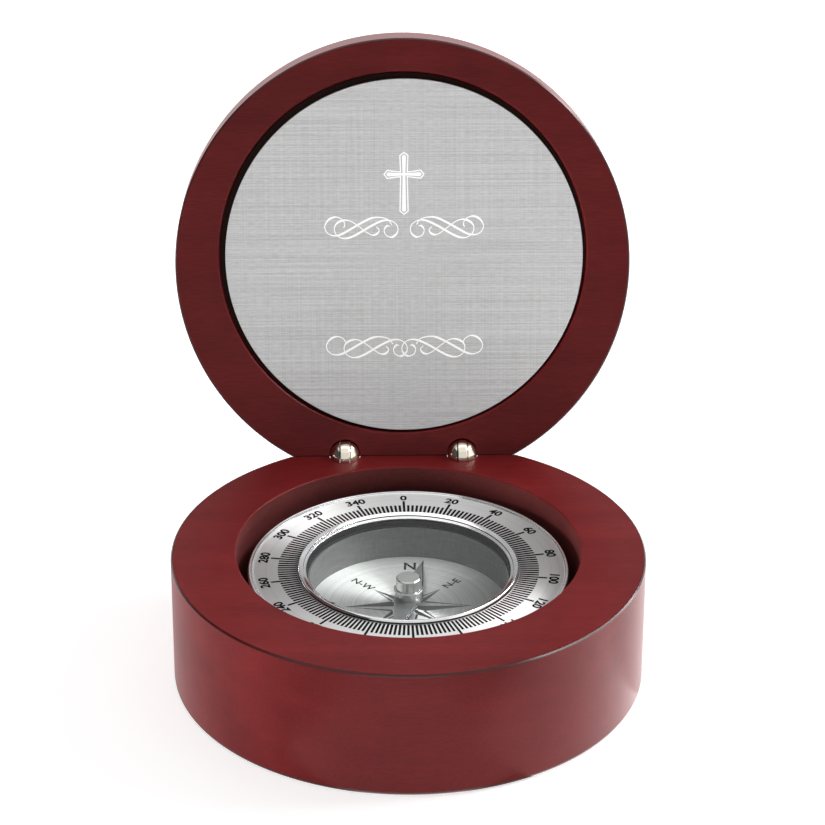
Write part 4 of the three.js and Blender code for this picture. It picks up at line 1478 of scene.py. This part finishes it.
class COMPASS_OT_stage(bpy.types.Operator):
    """Camera, soft lamps, pale floor and white surroundings"""

    bl_idname = "compass.stage"
    bl_label = "Stage"

    def execute(self, context):
        scene = context.scene
        sizes = scene.compass_stage
        self.camera(scene, sizes)
        for name, place, size, power, mirrored in LAMPS:
            self.lamp(scene, name, Vector(place), size, power, mirrored)
        self.surroundings(scene, sizes)
        self.floor(scene, sizes)
        for card in CARDS:
            self.card(scene, *card)
        felt = self.card(scene, *FELT)
        felt.visible_diffuse = True
        felt.visible_glossy = False
        scene.view_settings.view_transform = "Standard"
        return {"FINISHED"}

    @staticmethod
    def camera(scene, sizes):
        """The camera looks from eye to aim, rolled about that line."""
        lens = bpy.data.cameras.new("camera")
        lens.lens = sizes.lens
        lens.sensor_width = SENSOR
        lens.clip_start, lens.clip_end = CLIP
        ahead = (Vector(sizes.aim) - Vector(sizes.eye)).normalized()
        right = ahead.cross(Vector((0, 0, 1))).normalized()
        up = right.cross(ahead)
        turn = Matrix((right, up, -ahead)).transposed() @ Matrix.Rotation(sizes.roll, 3, "Z")
        camera = bpy.data.objects.new("camera", lens)
        camera.matrix_world = Matrix.Translation(sizes.eye) @ turn.to_4x4()
        scene.collection.objects.link(camera)
        scene.camera = camera

    @staticmethod
    def lamp(scene, name, place, size, power, mirrored):
        """A softbox of a width and a height that faces the object, and shows in its mirrors or not."""
        light = bpy.data.lights.new(name, "AREA")
        light.shape = "RECTANGLE"
        light.size, light.size_y = size
        light.energy = power
        lamp = bpy.data.objects.new(name, light)
        lamp.visible_glossy = mirrored
        lamp.location = place
        lamp.rotation_euler = (LIT_POINT - place).to_track_quat("-Z", "Y").to_euler()
        scene.collection.objects.link(lamp)

    @staticmethod
    def seen(tree):
        """One where a ray comes from the camera, a mirror or glass, and nought on other rays."""
        rays = add(tree, "LightPath").outputs
        share = rays["Is Camera Ray"]
        for kind in ("Is Glossy Ray", "Is Transmission Ray"):
            share = add(tree, "Math", {0: share, 1: rays[kind]}, operation="MAXIMUM").outputs[0]
        return share

    def surroundings(self, scene, sizes):
        """White where it is seen, and a softer fill as light."""
        world = bpy.data.worlds.new("white surroundings")
        world.use_nodes = True
        tree = world.node_tree
        limits = {VALUE: self.seen(tree), TO_LOW: sizes.fill, TO_HIGH: sizes.mirrored}
        strength = add(tree, "MapRange", limits)
        background = tree.nodes["Background"]
        background.inputs["Color"].default_value = WHITE
        feed(tree, background, Strength=strength.outputs[0])
        scene.world = world

    @staticmethod
    def card(scene, name, corner, along, across, glow):
        """A bright flat card that only mirrors show: corner + u along + v across."""
        u, v = np.meshgrid([0, 1], [0, 1], indexing="ij")
        points = np.array(corner) + u[..., None] * np.array(along) + v[..., None] * np.array(across)
        sheet = bpy.data.objects.new(name, built(name, [grid(points, close_u=False)]))
        made, _, _ = finish(
            name, Base_Color=BLACK, Emission_Color=WHITE, Specular_IOR_Level=0.0, Emission_Strength=glow
        )
        sheet.data.materials.append(made)
        scene.collection.objects.link(sheet)
        for ray in ("camera", "diffuse", "shadow", "transmission"):
            setattr(sheet, "visible_" + ray, False)
        return sheet

    def floor(self, scene, sizes):
        """A wide pale sheet just under the base; it looks white, and keeps a faint shadow."""
        t = np.linspace(-FLOOR_REACH, FLOOR_REACH, FLOOR_STEPS)
        x, y = np.meshgrid(t, t, indexing="ij")
        points = np.stack([x, y, 0 * x + FLOOR_LEVEL], axis=-1)
        sheet = bpy.data.objects.new("floor", built("floor", [grid(points, close_u=False)]))
        made, tree, shader = finish(
            "pale paper", Base_Color=rgba(sizes.floor), Roughness=0.9, Specular_IOR_Level=0.0,
            Emission_Color=WHITE,
        )
        limits = {VALUE: self.seen(tree), TO_LOW: FLOOR_GLOW[0], TO_HIGH: FLOOR_GLOW[1]}
        glow = add(tree, "MapRange", limits)
        feed(tree, shader, Emission_Strength=glow.outputs[0])
        sheet.data.materials.append(made)
        scene.collection.objects.link(sheet)


class COMPASS_PT_panel(bpy.types.Panel):
    """Lists what builds the compass"""

    bl_idname = "COMPASS_PT_panel"
    bl_label = "Desk compass"
    bl_space_type = "VIEW_3D"
    bl_region_type = "UI"
    bl_category = "Compass"

    def draw(self, context):
        for operator in OPERATORS:
            self.layout.operator(operator.bl_idname)
        for name, group in SETTINGS.items():
            column = self.layout.column()
            column.label(text=group.__doc__)
            for key in group.__annotations__:
                column.prop(getattr(context.scene, name), key)


OPERATORS = (
    COMPASS_OT_stage,
    COMPASS_OT_base,
    COMPASS_OT_lid,
    COMPASS_OT_plate,
    COMPASS_OT_hinges,
    COMPASS_OT_capsule,
    COMPASS_OT_degree_ring,
    COMPASS_OT_card,
    COMPASS_OT_needle,
)
CLASSES = (*SETTINGS.values(), *OPERATORS, COMPASS_PT_panel)


def register():
    for cls in CLASSES:
        bpy.utils.register_class(cls)
    for name, group in SETTINGS.items():
        setattr(bpy.types.Scene, name, PointerProperty(type=group))


def unregister():
    for name in SETTINGS:
        delattr(bpy.types.Scene, name)
    for cls in reversed(CLASSES):
        bpy.utils.unregister_class(cls)


def main():
    register()
    bpy.ops.compass.stage()
    bpy.ops.compass.base()
    bpy.ops.compass.lid()
    bpy.ops.compass.plate()
    bpy.ops.compass.hinges()
    bpy.ops.compass.capsule()
    bpy.ops.compass.degree_ring()
    bpy.ops.compass.card()
    bpy.ops.compass.needle()


if __name__ == "__main__":
    main()
